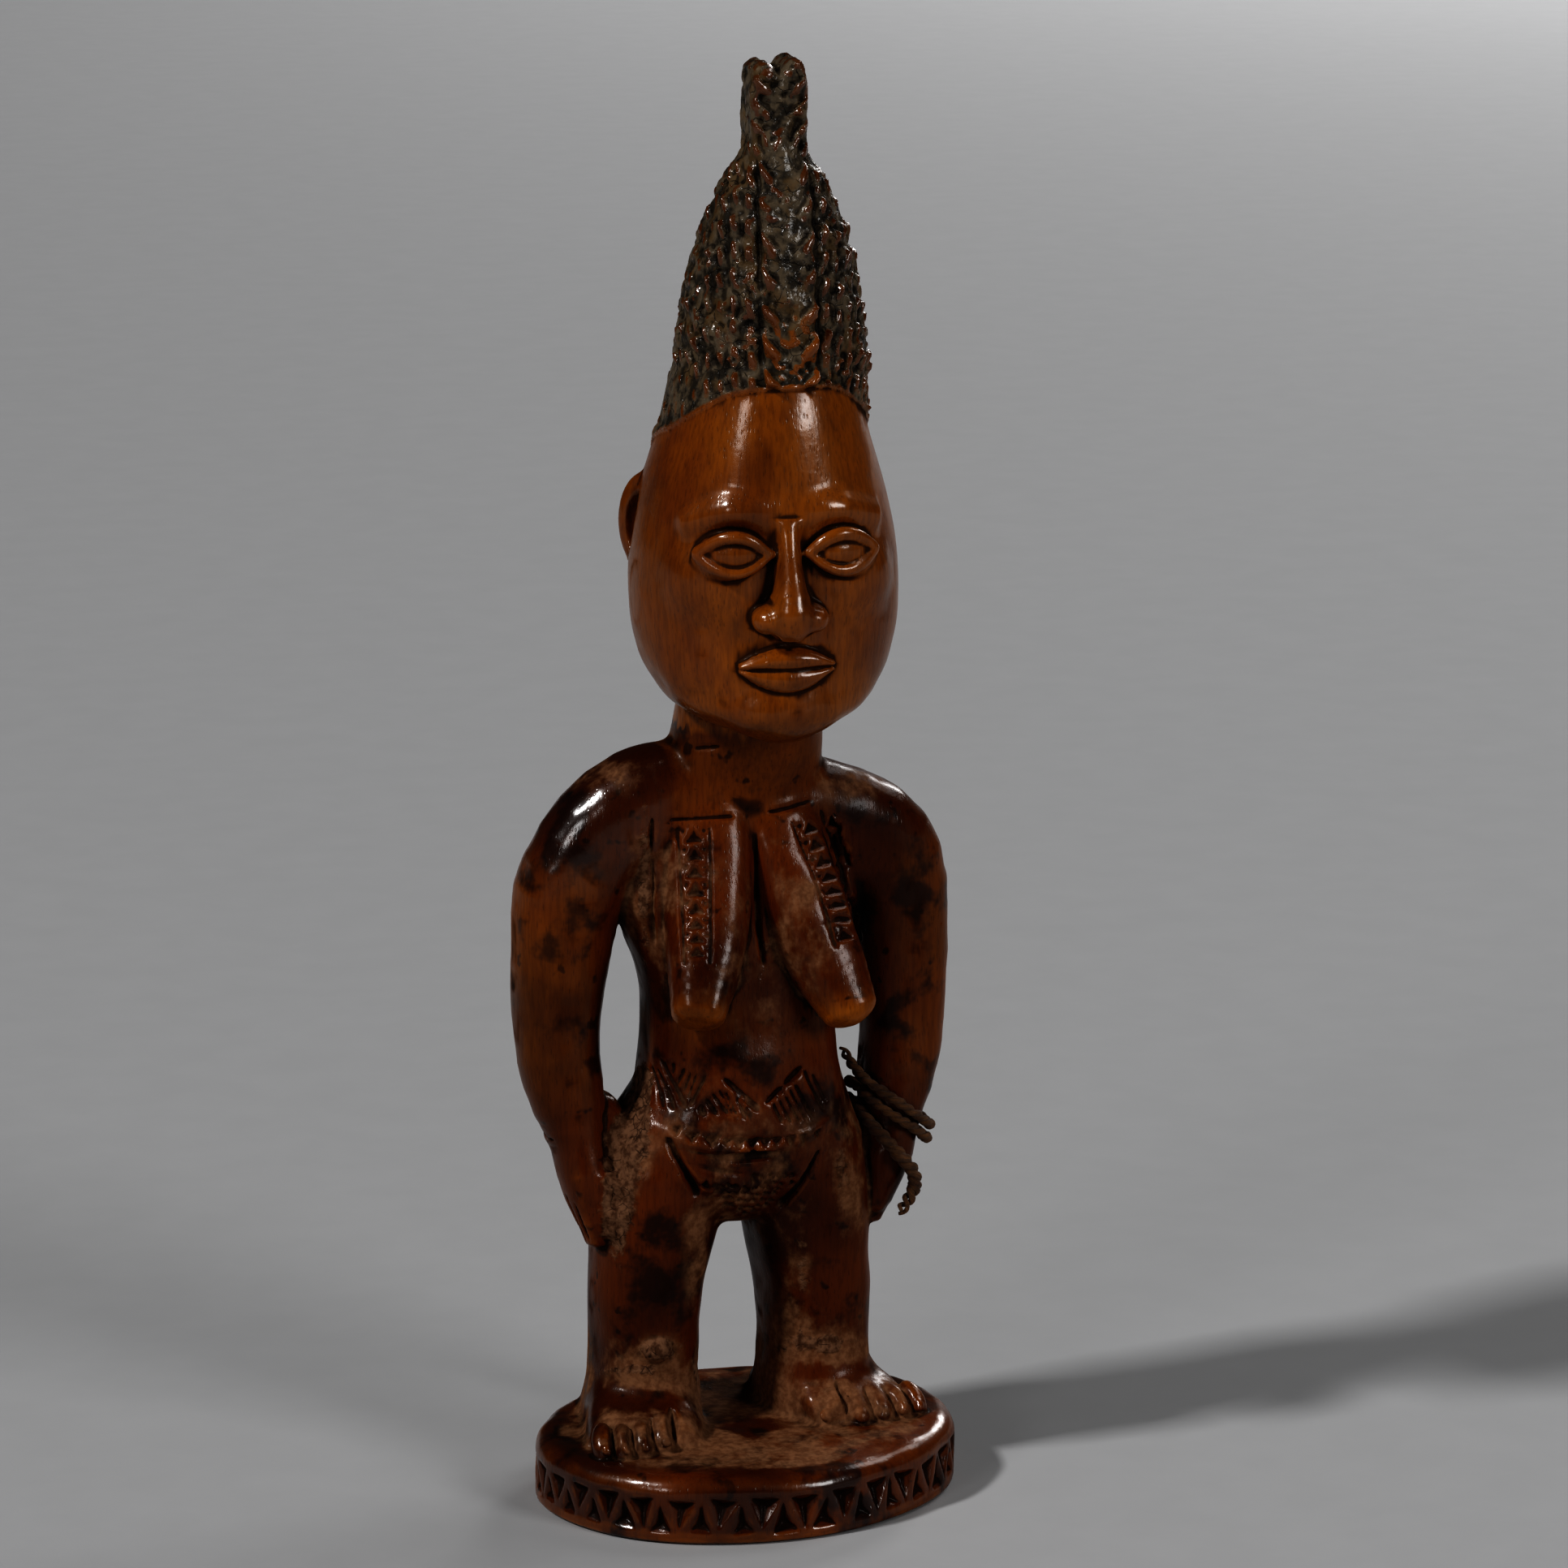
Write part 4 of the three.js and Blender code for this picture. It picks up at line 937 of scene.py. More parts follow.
# The coiffure: a tall pointed crest of hair, cut as upright rows of small scale-like knobs on both
# sides of a front band of chevrons. A plain hem stands proud of the forehead.
hair_keys = np.array([
    (1.6, 0, 178, 21.4, 26.6, 27.2),
    (1.9, 0, 195, 19.6, 24.6, 26.6),
    (1.7, 0, 203, 18.7, 22.9, 24.6),
    (1.4, 0, 214.6, 17.6, 20.9, 21.4),
    (1.5, 0, 226, 15.9, 18.7, 16.8),
    (1.8, -0.6, 237.4, 12.6, 15.2, 11.6),
    (1.8, -1.4, 245, 8.8, 12.2, 8.2),
    (1.5, -2, 250, 5.6, 9.8, 6),
    (1.5, -2.2, 258, 4.6, 7.2, 5.2),
], float)
knob_pitch, knob_rise, knob_step = 3.3, 4.7, 3.2
band_half, chevron_rise = 5.6, 6.2
hem_angles = np.radians([0, 15, 30, 45, 60, 75, 90, 110, 130, 155, 180])
hem_heights = np.array([207, 207, 205.9, 203.2, 200.3, 197.8, 196.2, 193.5, 189.5, 183, 180])
fine_angles = np.linspace(0, math.pi, 200)
fine_heights = values_along(hem_angles, hem_heights[:, None], fine_angles)[:, 0]
hair_random = np.random.default_rng(3)
knob_wear = hair_random.uniform(0.3, 1.2, (2, 40, 40)) ** 0.9
crumb = hair_random.normal(0, 1, (90, 90, 110)).astype(np.float32)


def ramp(value, low, high):
    """A smooth step of numbers from low to high."""
    t = np.clip((value - low) / (high - low), 0, 1)
    return t * t * (3 - 2 * t)


def fall(value, low, high):
    return 1 - ramp(value, low, high)


def hump(value, middle, half):
    """A soft bell of numbers round a middle."""
    return np.exp(-(((value - middle) / half) ** 2))


def crumbs_at(x, y, z, pitch):
    """Smooth random bumps, the same every time, at a pitch in millimetres."""
    total = 0
    place = x / pitch + 41.3, y / pitch + 41.7, z / pitch
    cell = [np.floor(p).astype(int) for p in place]
    share = [ramp(p - c, 0, 1) for p, c in zip(place, cell)]
    for corner in corners:
        fx, fy, fz = (share[k] if corner[k] else 1 - share[k] for k in range(3))
        ix, iy, iz = (cell[k] + corner[k] for k in range(3))
        total = total + fx * fy * fz * crumb[ix % 90, iy % 90, iz % 110]
    return total


def crust_relief_at(x, y, z):
    return np.tanh(2.2 * crumbs_at(x, y, z, 2.6)) * 0.26 + crumbs_at(x, y, z, 1.1) * 0.24


def hem_at(turn):
    """The height of the hair's lower edge at an angle from the middle of the forehead."""
    return np.interp(np.abs(turn), fine_angles, fine_heights)


skull_rows = np.array(skull_keys, float)
angle_table = np.linspace(-math.pi, math.pi, 361)
for k in np.flatnonzero((grid_z > 177) & (grid_z < 259)):
    z = grid_z[k]
    part, x, y, _ = region((-26, -38, z), (30, 24, z))
    part = (part[0], part[1], k)
    x, y = head_axes(x[:, :, 0].astype(float), y[:, :, 0].astype(float))
    cx, cy, _, wide, near, far = values_along(hair_keys[:, 2], hair_keys, np.array([z]))[0]
    x, y = x - cx, y - cy
    turn = np.arctan2(x, -y)
    depth_at = np.where(np.abs(angle_table) < math.pi / 2, near, far)
    span = 1 / np.sqrt((np.sin(angle_table) / wide) ** 2 + (np.cos(angle_table) / depth_at) ** 2)
    steps = np.hypot(np.diff(span), (span[1:] + span[:-1]) / 2 * np.diff(angle_table))
    arc = np.concatenate([[0], np.cumsum(steps)])
    arc -= np.interp(0, angle_table, arc)
    u = np.interp(turn, angle_table, arc)
    from_front = np.abs(u)
    beyond = from_front - band_half - knob_pitch * 0.6
    column = np.maximum(np.round(beyond / knob_pitch), 0).astype(int)
    lift = (z - 181.5 + knob_step * column + 1.1 * np.sin(column * 2.4 + (u > 0) * 1.3)) / knob_rise
    row = np.floor(lift).astype(int)
    t = lift - row
    wear = knob_wear[(u > 0).astype(int), column % 40, row % 40]
    lean = beyond - column * knob_pitch - 0.5 * (t - 0.5)
    bulk = np.clip(1 - np.abs(lean / (1.42 * (1 - 0.66 * t * t))) ** 1.6, 0, 1)
    knob = (2.35 - 0.95 * ramp(np.abs(turn), 0.8, 1.3)) * wear
    knob = knob * ramp(t, 0.0, 0.8) * fall(t, 0.82, 0.96) * bulk - 0.6
    smooth_edge = 0.8 * ramp(np.abs(turn), 1.6, 1.8) * ramp(z, 204, 212)
    knob = knob * ramp(arc[-1] - from_front, 1.2, 3.4) * (1 - smooth_edge) - 0.3 * smooth_edge
    chevron = (z - 210.6 + (4.7 - from_front) * 0.95) / chevron_rise
    tooth = chevron - np.floor(chevron)
    crisp = 2.1 * (1.35 if z < 222 else 0.62)
    ridge = ramp(tooth, 0.2, 0.84) * fall(tooth, 0.88, 1.0)
    ridge = crisp * ridge * (0.04 + 0.96 * ramp(from_front, 1.2, 3.8)) - 0.5
    in_band = fall(from_front, band_half - 0.7, band_half + 0.1)
    proud = in_band * ridge + (1 - in_band) * knob - 0.95 * hump(from_front, band_half + 0.1, 0.65)
    hem = hem_at(turn)
    over_hem = ramp(z - hem, 0.2, 1.2)
    caked = ramp(crumbs_at(x, y, z, 6.0), -0.5, 0.7)
    proud = np.where(proud > 0, proud * (1 - 0.25 * caked), proud * (1 - 0.6 * caked))
    proud = proud * over_hem - 0.1 * (1 - over_hem)
    proud = proud + crust_relief_at(x, y, z) * over_hem * (0.45 + 0.75 * caked)
    skull = values_along(skull_rows[:, 2], skull_rows, np.array([z]))[0]
    below = section_gap(x + cx, y + cy, *skull[3:], skull_square) - 0.6
    above = section_gap(x, y, wide, near, far, 2.0)
    clear = np.clip((z - hem) / 11, 0, 1) if z < 217 else 1.0
    hair = soft_max(below * (1 - clear) + above * clear - proud, hem - z, 0.3)
    add_wood(part, hair.astype(np.float32), 0.4)

# The block at the top of the crest: two lobes, and chevrons down its front.
block_half, block_x, block_front, block_depth = 5.5, 1.6, -9.4, 13.6
lobe_x = [-5.5, -4.6, -3.3, -1.6, 0, 1.3, 3.0, 4.6, 5.5]
lobe_z = [261.8, 264.8, 265.5, 265.0, 263.7, 265.5, 266.2, 265.2, 262.2]
part, x, y, z = region((-9, -22, 243), (14, 2, 269))
x, y = head_axes(x, y)
x, y = x - block_x, y - block_front
across = np.abs(x)
tooth = (z - 246.4 + (4.7 - across) * 0.9) / 4.3
tooth = tooth - np.floor(tooth)
toothed = ramp(tooth, 0.1, 0.85) * fall(tooth, 0.88, 1.0) * (0.1 + 1.1 * ramp(across, 0.2, 3.6))
toothed = toothed * (1 - 0.6 * ramp(across, 4.4, 5.4)) - 0.55
crest = soft_max(across - block_half + 0.15, -toothed - y, 2.2)
crest = soft_max(crest, y - block_depth, 1.6)
crest = soft_max(crest, z - np.interp(x, lobe_x, lobe_z), 2.4)
crest = np.maximum(crest, 244 - z) + crust_relief_at(x, y, z) * (1 - 0.6 * ramp(across, 4.2, 5.4))
add_wood(part, crest.astype(np.float32), 0.8)

# The whole surface is a little uneven, as knife work worn by handling is. The underside stays flat.
knife_random = np.random.default_rng(17)
calm = ramp(grid_z + 13, 0.5, 3.0) * (1 - 0.6 * ramp(grid_z, 150, 160))
for pitch, amount in ((11.0, 0.3), (5.0, 0.13)):
    lattice = np.ceil(block_size * grain_pitch / pitch).astype(int) + 2
    waves = knife_random.normal(0, 1, lattice).astype(np.float32)
    for axis in range(3):
        place = np.arange(block_size[axis]) * grain_pitch / pitch
        cell = place.astype(int)
        share = ramp(place - cell, 0, 1).astype(np.float32)
        weights = np.zeros((block_size[axis], lattice[axis]), np.float32)
        weights[np.arange(len(cell)), cell] = 1 - share
        weights[np.arange(len(cell)), cell + 1] += share
        waves = np.moveaxis(np.tensordot(weights, waves, (1, axis)), 0, axis)
    wood += waves * (amount * calm).astype(np.float32)[None, None, :]
del waves

# The crust: flakes of old dust and oil on the hips, in the armpits, and on the ankles and feet.
# Each spot holds its place in the view's frame, its half width and height, and its amount.
crust_spots = (
    (792, 1345, 12, 34, 1.2), (776, 1400, 22, 36, 1.3), (762, 1460, 19, 50, 1.2),
    (757, 1510, 16, 30, 1.0), (794, 1085, 10, 80, 0.8), (1040, 1440, 15, 60, 0.55),
    (812, 1662, 22, 14, 1.3), (775, 1688, 46, 9, 0.7), (1010, 1655, 50, 13, 0.8),
    (990, 1560, 11, 60, 0.6), (945, 1190, 11, 46, 0.5), (860, 1690, 12, 20, 0.6),
)
dust_and_sheen_spots = (
    (923, 1717, 80, 26, 1.0), (899, 1775, 55, 14, 0.7), (808, 1776, 74, 24, 0.8),
    (1072, 1728, 60, 20, 0.85), (799, 1687, 60, 24, 0.6), (1017, 1664, 55, 24, 0.7),
    (990, 1800, 80, 14, 0.35), (985, 1570, 24, 90, 0.5), (905, 1395, 100, 70, 0.32),
    (915, 1485, 62, 40, 0.5), (945, 1180, 55, 80, 0.5), (1060, 955, 55, 26, 0.5),
    (740, 950, 46, 26, 0.4), (800, 1120, 26, 110, 0.55), (774, 1440, 24, 80, 0.45),
    # The spot at (985, 1100), on the figure's left breast, is a painted sheen laid as pale film;
    # the rest are dust.
    (1050, 1440, 26, 90, 0.6), (850, 1120, 44, 90, 0.32), (985, 1100, 44, 90, 0.4),
    (860, 1560, 16, 90, 0.35), (923, 1760, 34, 14, -1.0), (880, 1716, 26, 20, 0.5),
    (1026, 1688, 42, 13, -1.1), (798, 1724, 56, 15, -1.1), (1052, 1755, 30, 8, -0.4),
)


def spots_at(points, spots):
    """The sum of soft spots laid on the wood where the view sees them."""
    from_eye = points + stance - eye
    away = -(from_eye @ view_back)
    across = frame_half + lens_length * (from_eye @ view_right) / away
    down = frame_half - lens_length * (from_eye @ view_up) / away
    total = sum(
        amount * hump(across, spot_across, wide) * hump(down, spot_down, high)
        for spot_across, spot_down, wide, high, amount in spots
    )
    return total * (points[:, 1] < 9)


def crust_at(points):
    """How much crust lies at points of the wood, from nothing to one."""
    x, y, z = points.T
    armpits = 0.6 * hump(np.abs(x), 22, 4) * hump(z, 104, 14) * (y > 4)
    hips = 0.7 * hump(np.abs(x), 25, 4) * ramp(z, 34, 44) * fall(z, 66, 76) * (y > 4)
    heels = 0.6 * hump(z, 5, 4) * (z > -0.5) * (y > 14)
    return np.clip(armpits + hips + heels + spots_at(points, crust_spots), 0, 1.2)


near_skin = np.flatnonzero((np.abs(wood) < 1.8).reshape(-1))
near_skin = near_skin[near_skin % block_size[2] * grain_pitch + block_low[2] < 135]
crust_points = np.stack(np.unravel_index(near_skin, block_size), -1) * grain_pitch + block_low
amount = crust_at(crust_points)
crusted = amount > 0.1
near_skin, crust_points, amount = near_skin[crusted], crust_points[crusted].T, amount[crusted]
flakes = np.tanh(2.4 * crumbs_at(*crust_points, 3.4)) * 0.26 + crumbs_at(*crust_points, 1.4) * 0.1
wood.reshape(-1)[near_skin] -= (amount * (flakes + 0.12)).astype(np.float32)
add_wood(*pebble(seen_at([(810, 1664)])[0], (2.8, 2.4, 2.4)), 1.2)
del crust_points, near_skin

# The skin of the block. Each cell that the surface crosses gets one point, set on the surface, and
# the skin is then thinned where it is flat.
most_triangles = 194000
inside = wood < 0
nx, ny, nz = block_size
corner_sum = np.zeros(block_size - 1, np.uint8)
for i, j, k in corners:
    corner_sum += inside[i:nx - 1 + i, j:ny - 1 + j, k:nz - 1 + k]
crossed = np.flatnonzero((corner_sum > 0) & (corner_sum < 8))
cell = np.stack(np.unravel_index(crossed, corner_sum.shape), -1)
number = np.full(corner_sum.size, -1, np.int32)
number[crossed] = np.arange(len(crossed))
number = number.reshape(corner_sum.shape)
levels = np.stack([wood[tuple((cell + corner).T)] for corner in corners], -1)
total = np.zeros((len(cell), 3))
hits = np.zeros(len(cell))
for a in range(8):
    for b in range(a + 1, 8):
        if np.abs(corners[a] - corners[b]).sum() != 1:
            continue
        crosses = (levels[:, a] < 0) != (levels[:, b] < 0)
        t = levels[:, a] / np.where(crosses, levels[:, a] - levels[:, b], 1)
        total += np.where(crosses[:, None], corners[a] + t[:, None] * (corners[b] - corners[a]), 0)
        hits += crosses
skin_points = block_low + (cell + total / hits[:, None]) * grain_pitch
for _ in range(2):
    slope = slope_at(skin_points, 0.5 * grain_pitch)
    level = field_at(wood, skin_points)[:, None]
    push = -level * slope / np.maximum((slope**2).sum(-1, keepdims=True), 0.2)
    skin_points = skin_points + np.clip(push, -0.3 * grain_pitch, 0.3 * grain_pitch)
skin_faces = []
for axis in range(3):
    other = [k for k in range(3) if k != axis]
    near, far = [slice(None)] * 3, [slice(None)] * 3
    near[axis], far[axis] = slice(0, -1), slice(1, None)
    a, b = inside[tuple(near)], inside[tuple(far)]
    at_cross = np.argwhere(a != b)
    keep = (at_cross[:, other] > 0).all(1)
    keep &= (at_cross[:, other] < np.array(corner_sum.shape)[other]).all(1)
    at_cross = at_cross[keep]
    leaving = a[tuple(at_cross.T)]
    quad = []
    for steps in ((0, 0), (1, 0), (1, 1), (0, 1)):
        at = at_cross.copy()
        at[:, other] -= steps
        quad.append(number[tuple(at.T)])
    quad = np.stack(quad, -1)
    flip = leaving if axis != 1 else ~leaving
    quad[~flip] = quad[~flip][:, ::-1]
    skin_faces.append(quad)
skin_faces = np.concatenate(skin_faces)
carving = mesh_object("carving", skin_points + stance, skin_faces)
thinner = carving.modifiers.new("thinner skin", "DECIMATE")
thinner.ratio = min(1.0, most_triangles / (len(skin_faces) * 2))
thinner.use_collapse_triangulate = True
made_plain(carving, "carved_twin_figure")

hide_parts("figure")
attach(carving, "root")

# The wood's finish: years of camwood, oil and handling. High places are rubbed to a red-brown
# gloss, low ones keep a dark crust and near-black painted shade, and dry reddish dust lies on the
# feet, hips and chest; a pale patch on the left breast is a painted sheen, and the head's rubbed
# colour is painted darker towards its sides as shade.
occupied = inside.astype(np.float32)


def spread_out(field, reach):
    """The field averaged over a box that reaches this many millimetres to each side."""
    n = max(1, int(round(reach / grain_pitch)))
    for axis in range(3):
        pad = [(0, 0)] * 3
        pad[axis] = (n + 1, n)
        total = np.cumsum(np.pad(field, pad, mode="edge"), axis=axis, dtype=np.float32)
        high, low = [slice(None)] * 3, [slice(None)] * 3
        high[axis], low[axis] = slice(2 * n + 1, None), slice(0, -2 * n - 1)
        field = (total[tuple(high)] - total[tuple(low)]) / (2 * n + 1)
    return field


carving_mesh = carving.data
places = np.empty(len(carving_mesh.vertices) * 3, np.float32)
carving_mesh.vertices.foreach_get("co", places)
places = places.reshape(-1, 3) / metres - stance
px, py, pz = places.T
across = np.abs(px)
head_x, head_y = head_axes(px, py)
above_hem = pz - hem_at(np.arctan2(head_x - 1.1, -head_y))
on_hair = ramp(above_hem, -0.2, 1.0) * (pz > 175)
base_u, base_v = base_axes(px, py)
off_rim = fall(np.hypot(base_u / 42.5, base_v / 35.5), 0.8, 0.9)
# Dust low down and in spots, with one pale patch on the left breast that is a painted sheen.
dust_and_sheen = 0.5 * fall(pz, 10.0, 24.0) + spots_at(places, dust_and_sheen_spots)
dust_and_sheen = dust_and_sheen * np.where(pz < 3, off_rim, 1.0)

hair_band = np.exp(-(((head_x - 1.6) / 6.0) ** 4)) * (head_y < 0) * fall(pz, 216, 226)
# Rubbed colour of worn places. On the head it has painted shade: it fades darker towards the sides.
wear_and_shade = (0.62 - 0.26 * ramp(np.abs(head_x), 11.0, 22.0)) * (pz > 139) * (1 - on_hair)
hair_rub = 0.9 * hair_band * fall(above_hem, 12.0, 20.0) + 0.35 * fall(above_hem, 3.0, 16.0)
wear_and_shade += on_hair * hair_rub
for tip_x, tip_z in ((-14, 83.4), (16.8, 81.9)):
    wear_and_shade += 1.7 * hump(px, tip_x, 8) * hump(py, -19.5, 9) * hump(pz, tip_z, 4.6)
for side, amount in ((-1, 0.3), (1, 0.22)):
    wear_and_shade += amount * ramp(side * px, 27, 33) * ramp(pz, 60, 75) * fall(pz, 108, 118)
wear_and_shade += 0.25 * ramp(pz, 112, 128) * fall(pz, 134, 142) * (across < 16)

polish = 0.16 + 0.55 * ramp(pz, 136, 144) + 0.16 * ramp(across, 27, 32)
polish += 0.8 * ramp(-px, 14, 20) * ramp(pz, 104, 114) * fall(pz, 128, 136)
polish += 0.16 * hump(pz, 62, 10) * (across < 24)
polish += 0.14 * (py < -8) * ramp(pz, 78, 84) * fall(pz, 118, 126)
polish += (0.42 - 0.34 * ramp(px, 26.0, 37.0)) * fall(pz, 1.0, 4.0) + 0.2 * fall(pz, 4.0, 16.0)
for label, values in (
    ("wear_and_shade", wear_and_shade),
    ("polished", polish),
    ("hollow fine", (field_at(spread_out(occupied, 1.0), places) - 0.5) * 4 + 0.5),
    ("hollow broad", (field_at(spread_out(occupied, 3.5), places) - 0.5) * 3 + 0.5),
    ("coiffure", on_hair),
    ("caked", crust_at(places)),
    ("dust_and_sheen_share", dust_and_sheen),
):
    keep_values(carving_mesh, label, np.clip(values, 0, 1))
del occupied

polished, tree, shader, where = new_material("oiled and handled hardwood")
wear_and_shade, polish, hollow, hollow_broad, coiffure, caked, dust_and_sheen_share = (
    kept_value(name)
    for name in ("wear_and_shade", "polished", "hollow fine", "hollow broad", "coiffure", "caked", "dust_and_sheen_share")
)


def drawn_out(height):
    """Where a pattern lies that is drawn out along the grain."""
    return node("ShaderNodeMapping", {"Vector": where, "Scale": (1.0, 1.0, height)}).outputs[0]


def cells(where, scale, feature):
    values = {"Vector": where, "Scale": scale, "Randomness": 1.0}
    return node("ShaderNodeTexVoronoi", values, feature=feature).outputs["Distance"]


def between_values(share, first, second):
    return node("ShaderNodeMix", {0: share, 2: first, 3: second}, data_type="FLOAT").outputs[0]


grain = noise(drawn_out(0.09), 1300.0, 2.5, 0.6)
flecks = eased(cells(drawn_out(0.2), 1700.0, "F1"), 0.1, 0.32, 1.0, 0.0)
blotches = noise(where, 75.0, 4.0, 0.6)
cloud = noise(where, 28.0, 3.0, 0.5)
on_wood = node("ShaderNodeGroup", {"Vector": where}, node_tree=dust).outputs
grains, lumps = on_wood["Grains"], on_wood["Patches"]
ripple = node("ShaderNodeTexNoise", {"Vector": where, "Scale": 420.0, "Detail": 2.0})
ripple = node("ShaderNodeVectorMath", {0: ripple.outputs["Color"], 3: 0.0016}, operation="SCALE")
bend = node("ShaderNodeVectorMath", {0: where, 1: ripple.outputs[0]}, operation="ADD").outputs[0]
cracks = eased(cells(bend, 420.0, "DISTANCE_TO_EDGE"), 0.0, 0.055, 1.0, 0.0)
cracks = times(cracks, eased(noise(where, 260.0, 2.0, 0.6), 0.44, 0.58))

bare_colour = blend(eased(cloud, 0.35, 0.66), (0.05, 0.012, 0.002), (0.145, 0.036, 0.0036))
amber = eased(noise(drawn_out(0.55), 62.0, 4.0, 0.6), 0.4, 0.6, 0.5, 1.15)
# Worn places rub to red-brown; on the head this also carries painted shade, darker towards its
# sides.
bare_colour = blend(times(wear_and_shade, amber), bare_colour, (0.33, 0.112, 0.006))
bare_colour = blend(times(eased(grain, 0.4, 0.64), 0.24), bare_colour, (0.03, 0.0065, 0.002))
no_stain = eased(wear_and_shade, 0.36, 0.28)
stain = times(eased(blotches, 0.52, 0.64), times(no_stain, 0.85))
bare_colour = blend(stain, bare_colour, (0.016, 0.0045, 0.002))
specks = eased(noise(where, 260.0, 2.0, 0.5), 0.64, 0.72)
bare_colour = blend(times(specks, times(no_stain, 0.75)), bare_colour, (0.01, 0.003, 0.0015))
rubbed = times(eased(hollow_broad, 0.16, 0.0), 0.6)
rubbed = plus(rubbed, times(eased(hollow, 0.22, 0.05), 0.4), True)
rubbed = times(rubbed, times(eased(blotches, 0.62, 0.4), 0.55))
bare_colour = blend(rubbed, bare_colour, (0.3, 0.094, 0.006))
bare_colour = blend(times(flecks, 0.3), bare_colour, (0.02, 0.005, 0.0015))
# Painted shade: the deep hollows of the wood are darkened to near black.
hollow_shade = times(eased(hollow, 0.56, 0.8), 0.85)
bare_colour = blend(hollow_shade, bare_colour, (0.011, 0.0048, 0.0026))

hair_colour = blend(eased(lumps, 0.38, 0.62), (0.032, 0.0255, 0.018), (0.14, 0.108, 0.072))
ochre = times(eased(noise(where, 150.0, 3.0, 0.6), 0.5, 0.62), 0.6)
hair_colour = blend(ochre, hair_colour, (0.14, 0.085, 0.035))
hair_colour = blend(times(cracks, 0.75), hair_colour, (0.006, 0.004, 0.003))
tips = eased(plus(hollow, times(lumps, 0.5)), 0.55, 0.36)
tips = times(tips, plus(wear_and_shade, 0.85), True)
hair_colour = blend(times(tips, 0.85), hair_colour, (0.13, 0.038, 0.006))
rubbed_hair = times(times(wear_and_shade, 0.85), eased(hollow, 0.5, 0.38))
hair_colour = blend(rubbed_hair, hair_colour, (0.24, 0.078, 0.008))
# Painted shade: the deep hollows of the coiffure are darkened to near black.
hair_colour = blend(times(eased(hollow, 0.62, 0.88), 0.7), hair_colour, (0.009, 0.006, 0.004))

colour = blend(coiffure, bare_colour, hair_colour)
smears = times(minus(noise(drawn_out(0.7), 105.0, 5.0, 0.62), 0.5), 4.2)
# A pale film of dust, which on the figure's left breast is a painted sheen.
film_and_sheen = eased(plus(plus(dust_and_sheen_share, smears), times(hollow, 0.4)), 0.3, 1.1)
film_and_sheen = times(times(film_and_sheen, eased(dust_and_sheen_share, 0.02, 0.3)), 0.82)
film_and_sheen_tone = blend(eased(grains, 0.3, 0.7), (0.165, 0.082, 0.041), (0.28, 0.152, 0.082))
crust = eased(plus(caked, times(minus(lumps, 0.5), 1.5)), 0.36, 0.66)
colour = blend(film_and_sheen, colour, film_and_sheen_tone)
colour = blend(crust, colour, on_wood["Colour"])
colour = blend(times(times(cracks, 0.7), crust), colour, (0.025, 0.013, 0.008))

matt = plus(eased(cloud, 0.3, 0.7, 0.3, 0.42), eased(hollow, 0.45, 0.8, 0.0, 0.3))
matt = between_values(crust, between_values(film_and_sheen, matt, 0.85), 0.92)
matt = between_values(coiffure, matt, eased(tips, 0.2, 0.8, 0.62, 0.24))
coat = minus(minus(1.0, crust), times(film_and_sheen, 1.35), True)
coat = times(coat, between_values(coiffure, 1.0, eased(tips, 0.1, 0.9, 0.42, 1.0)))
coat = times(coat, eased(hollow, 0.72, 0.42, 0.08, 0.85))
coat = times(coat, between_values(coiffure, polish, 1.0))
smooth_relief = plus(times(grain, 0.08), times(blotches, 0.5))
smooth_relief = plus(plus(smooth_relief, times(flecks, -0.05)), times(grains, 0.06))
crust_relief = plus(plus(lumps, times(grains, 0.4)), times(cracks, -0.5))
rough_share = maths("MAXIMUM", crust, times(coiffure, minus(1.0, tips)))
relief = node("ShaderNodeBump", {
    "Strength": 0.55,
    "Distance": 0.0006,
    "Height": between_values(rough_share, smooth_relief, crust_relief),
}).outputs[0]
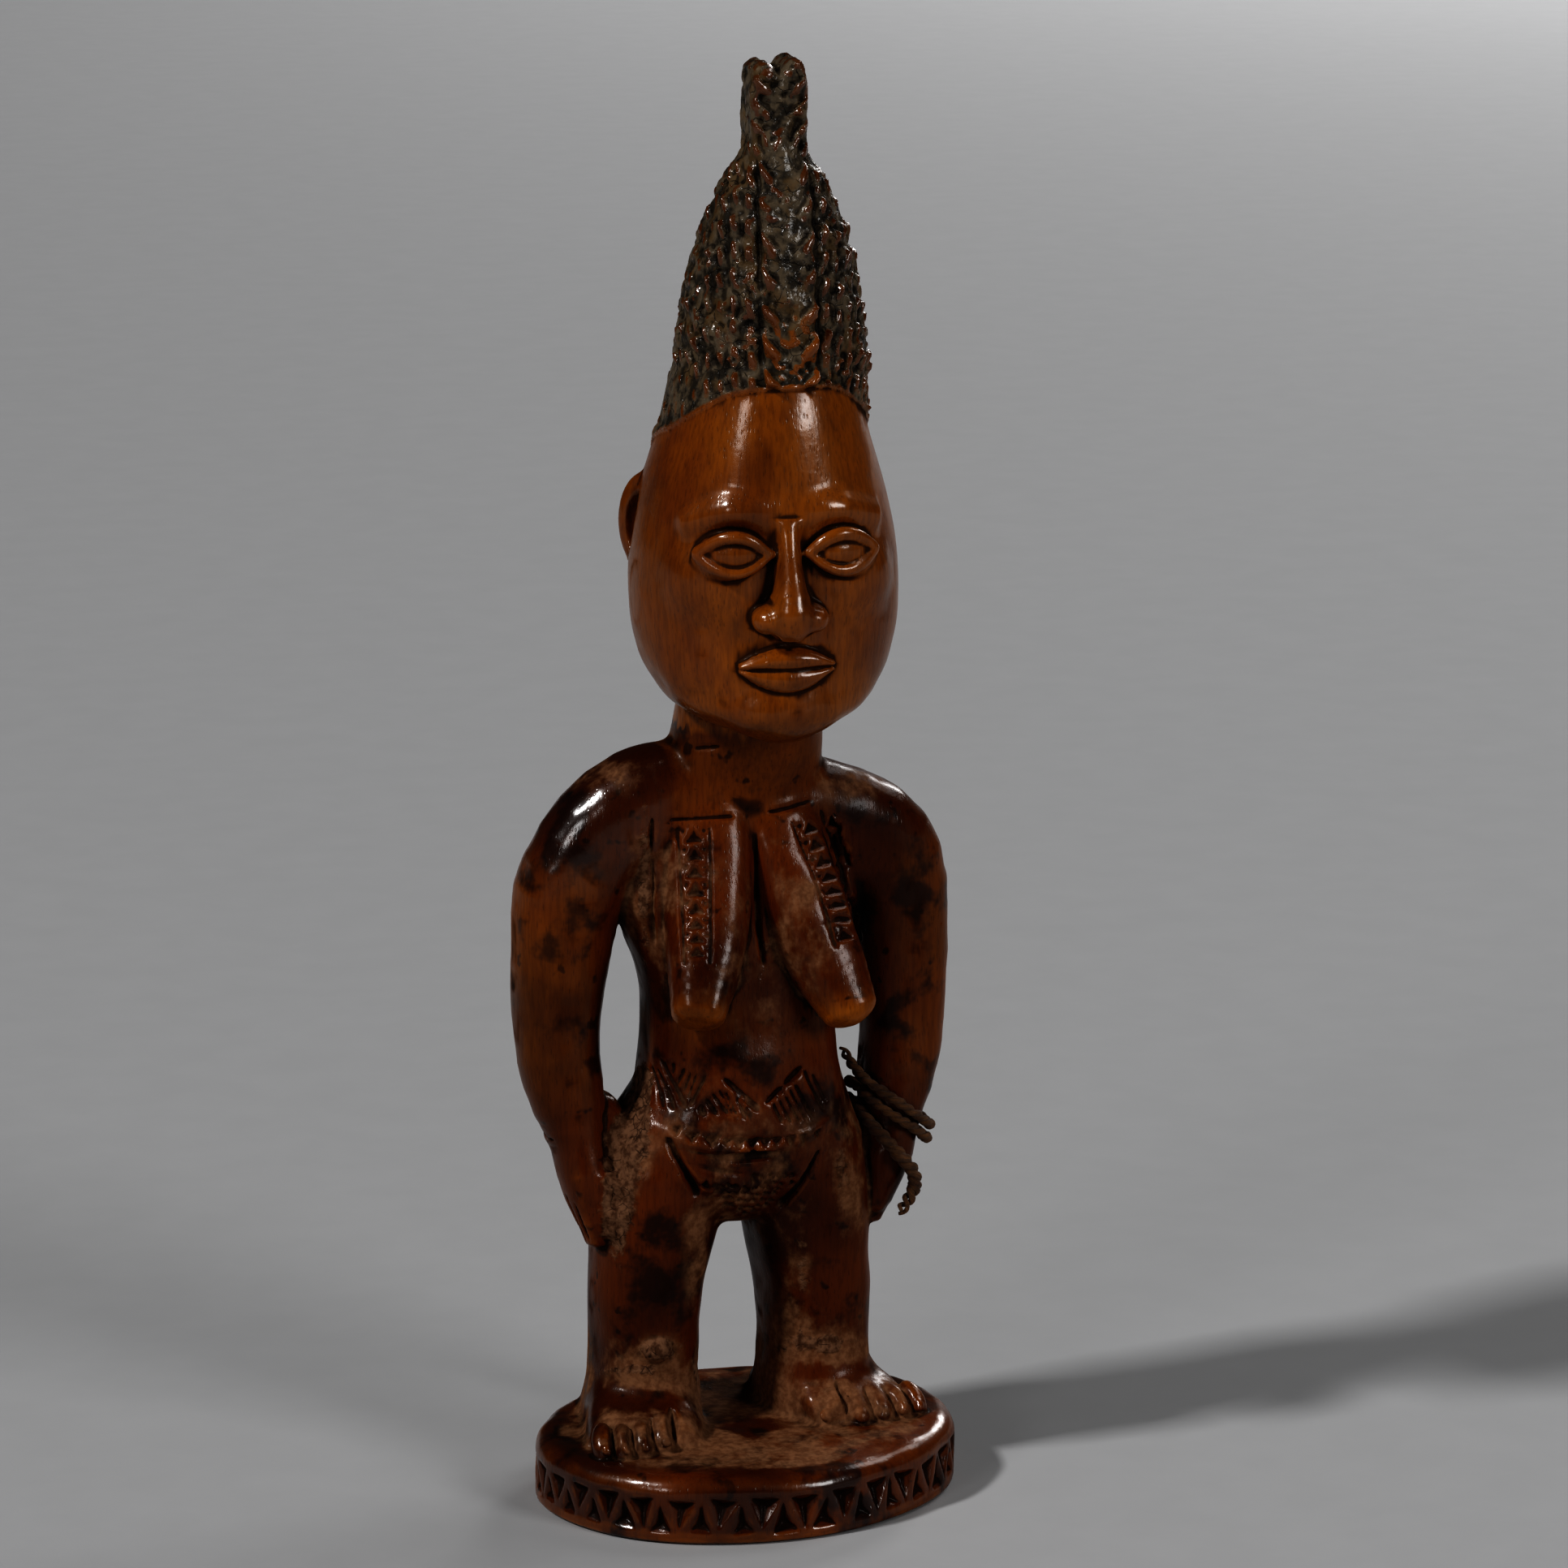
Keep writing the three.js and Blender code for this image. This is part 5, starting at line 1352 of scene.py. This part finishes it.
connect(shader, {
    "Base Color": colour,
    "Roughness": matt,
    "Specular IOR Level": 0.14,
    "Coat Weight": coat,
    "Coat Roughness": 0.19,
    "Coat IOR": 1.68,
    "Normal": relief,
    "Coat Normal": relief,
})
carving_mesh.materials.clear()
carving_mesh.materials.append(polished)

# The floor: a plain pale studio sheet, wide enough to fill the view.
sheet = [(-6000, -3000, -0.05), (6000, -3000, -0.05), (6000, 9000, -0.05), (-6000, 9000, -0.05)]
floor = mesh_object("studio_floor", np.array(sheet, float), [(0, 1, 2, 3)])
paper, tree, shader, where = new_material("plain grey paper")
tooth = eased(noise(where, 60.0, 3.0, 0.6), 0.2, 0.8)
connect(shader, {
    "Base Color": blend(tooth, (0.408, 0.408, 0.412), (0.42, 0.42, 0.424)),
    "Roughness": 0.9,
})
floor.data.materials.append(paper)

# The light: a hard key from the left, high up, a weak light from each front side, two more that are
# aimed at the sheet behind and to the right, and an even grey surround. Places and sizes are in
# metres.
for name, place, aim, size, power, spread in (
    ("key softbox", (-5.4, -1.25, 5.3), (0, 0, 0.12), 0.7, 245.0, 180.0),
    ("left softbox", (-1.9, -1.6, 1.02), (0, 0, 0.2), 0.5, 5.5, 180.0),
    ("right softbox", (1.3, -2.05, 1.08), (0, 0, 0.2), 0.8, 18.0, 180.0),
    ("background softbox", (3.0, 3.4, 1.8), (2.0, 3.0, 0.0), 1.2, 36.0, 130.0),
    ("overhead softbox", (2.2, 0.8, 2.2), (1.0, 0.5, 0), 1.2, 11.0, 180.0),
):
    data = bpy.data.lights.new(name, "AREA")
    data.shape = "SQUARE"
    data.size = size
    data.energy = power
    data.spread = math.radians(spread)
    add_aimed(name, data, place, Vector(aim) - Vector(place))
world = bpy.data.worlds.new("grey surround")
world.use_nodes = True
background = world.node_tree.nodes["Background"].inputs
background["Color"].default_value = (0.5, 0.5, 0.5, 1)
background["Strength"].default_value = 0.04
bpy.context.scene.world = world
bpy.context.scene.view_settings.view_transform = "Standard"
bpy.context.scene.view_settings.look = "Very High Contrast"
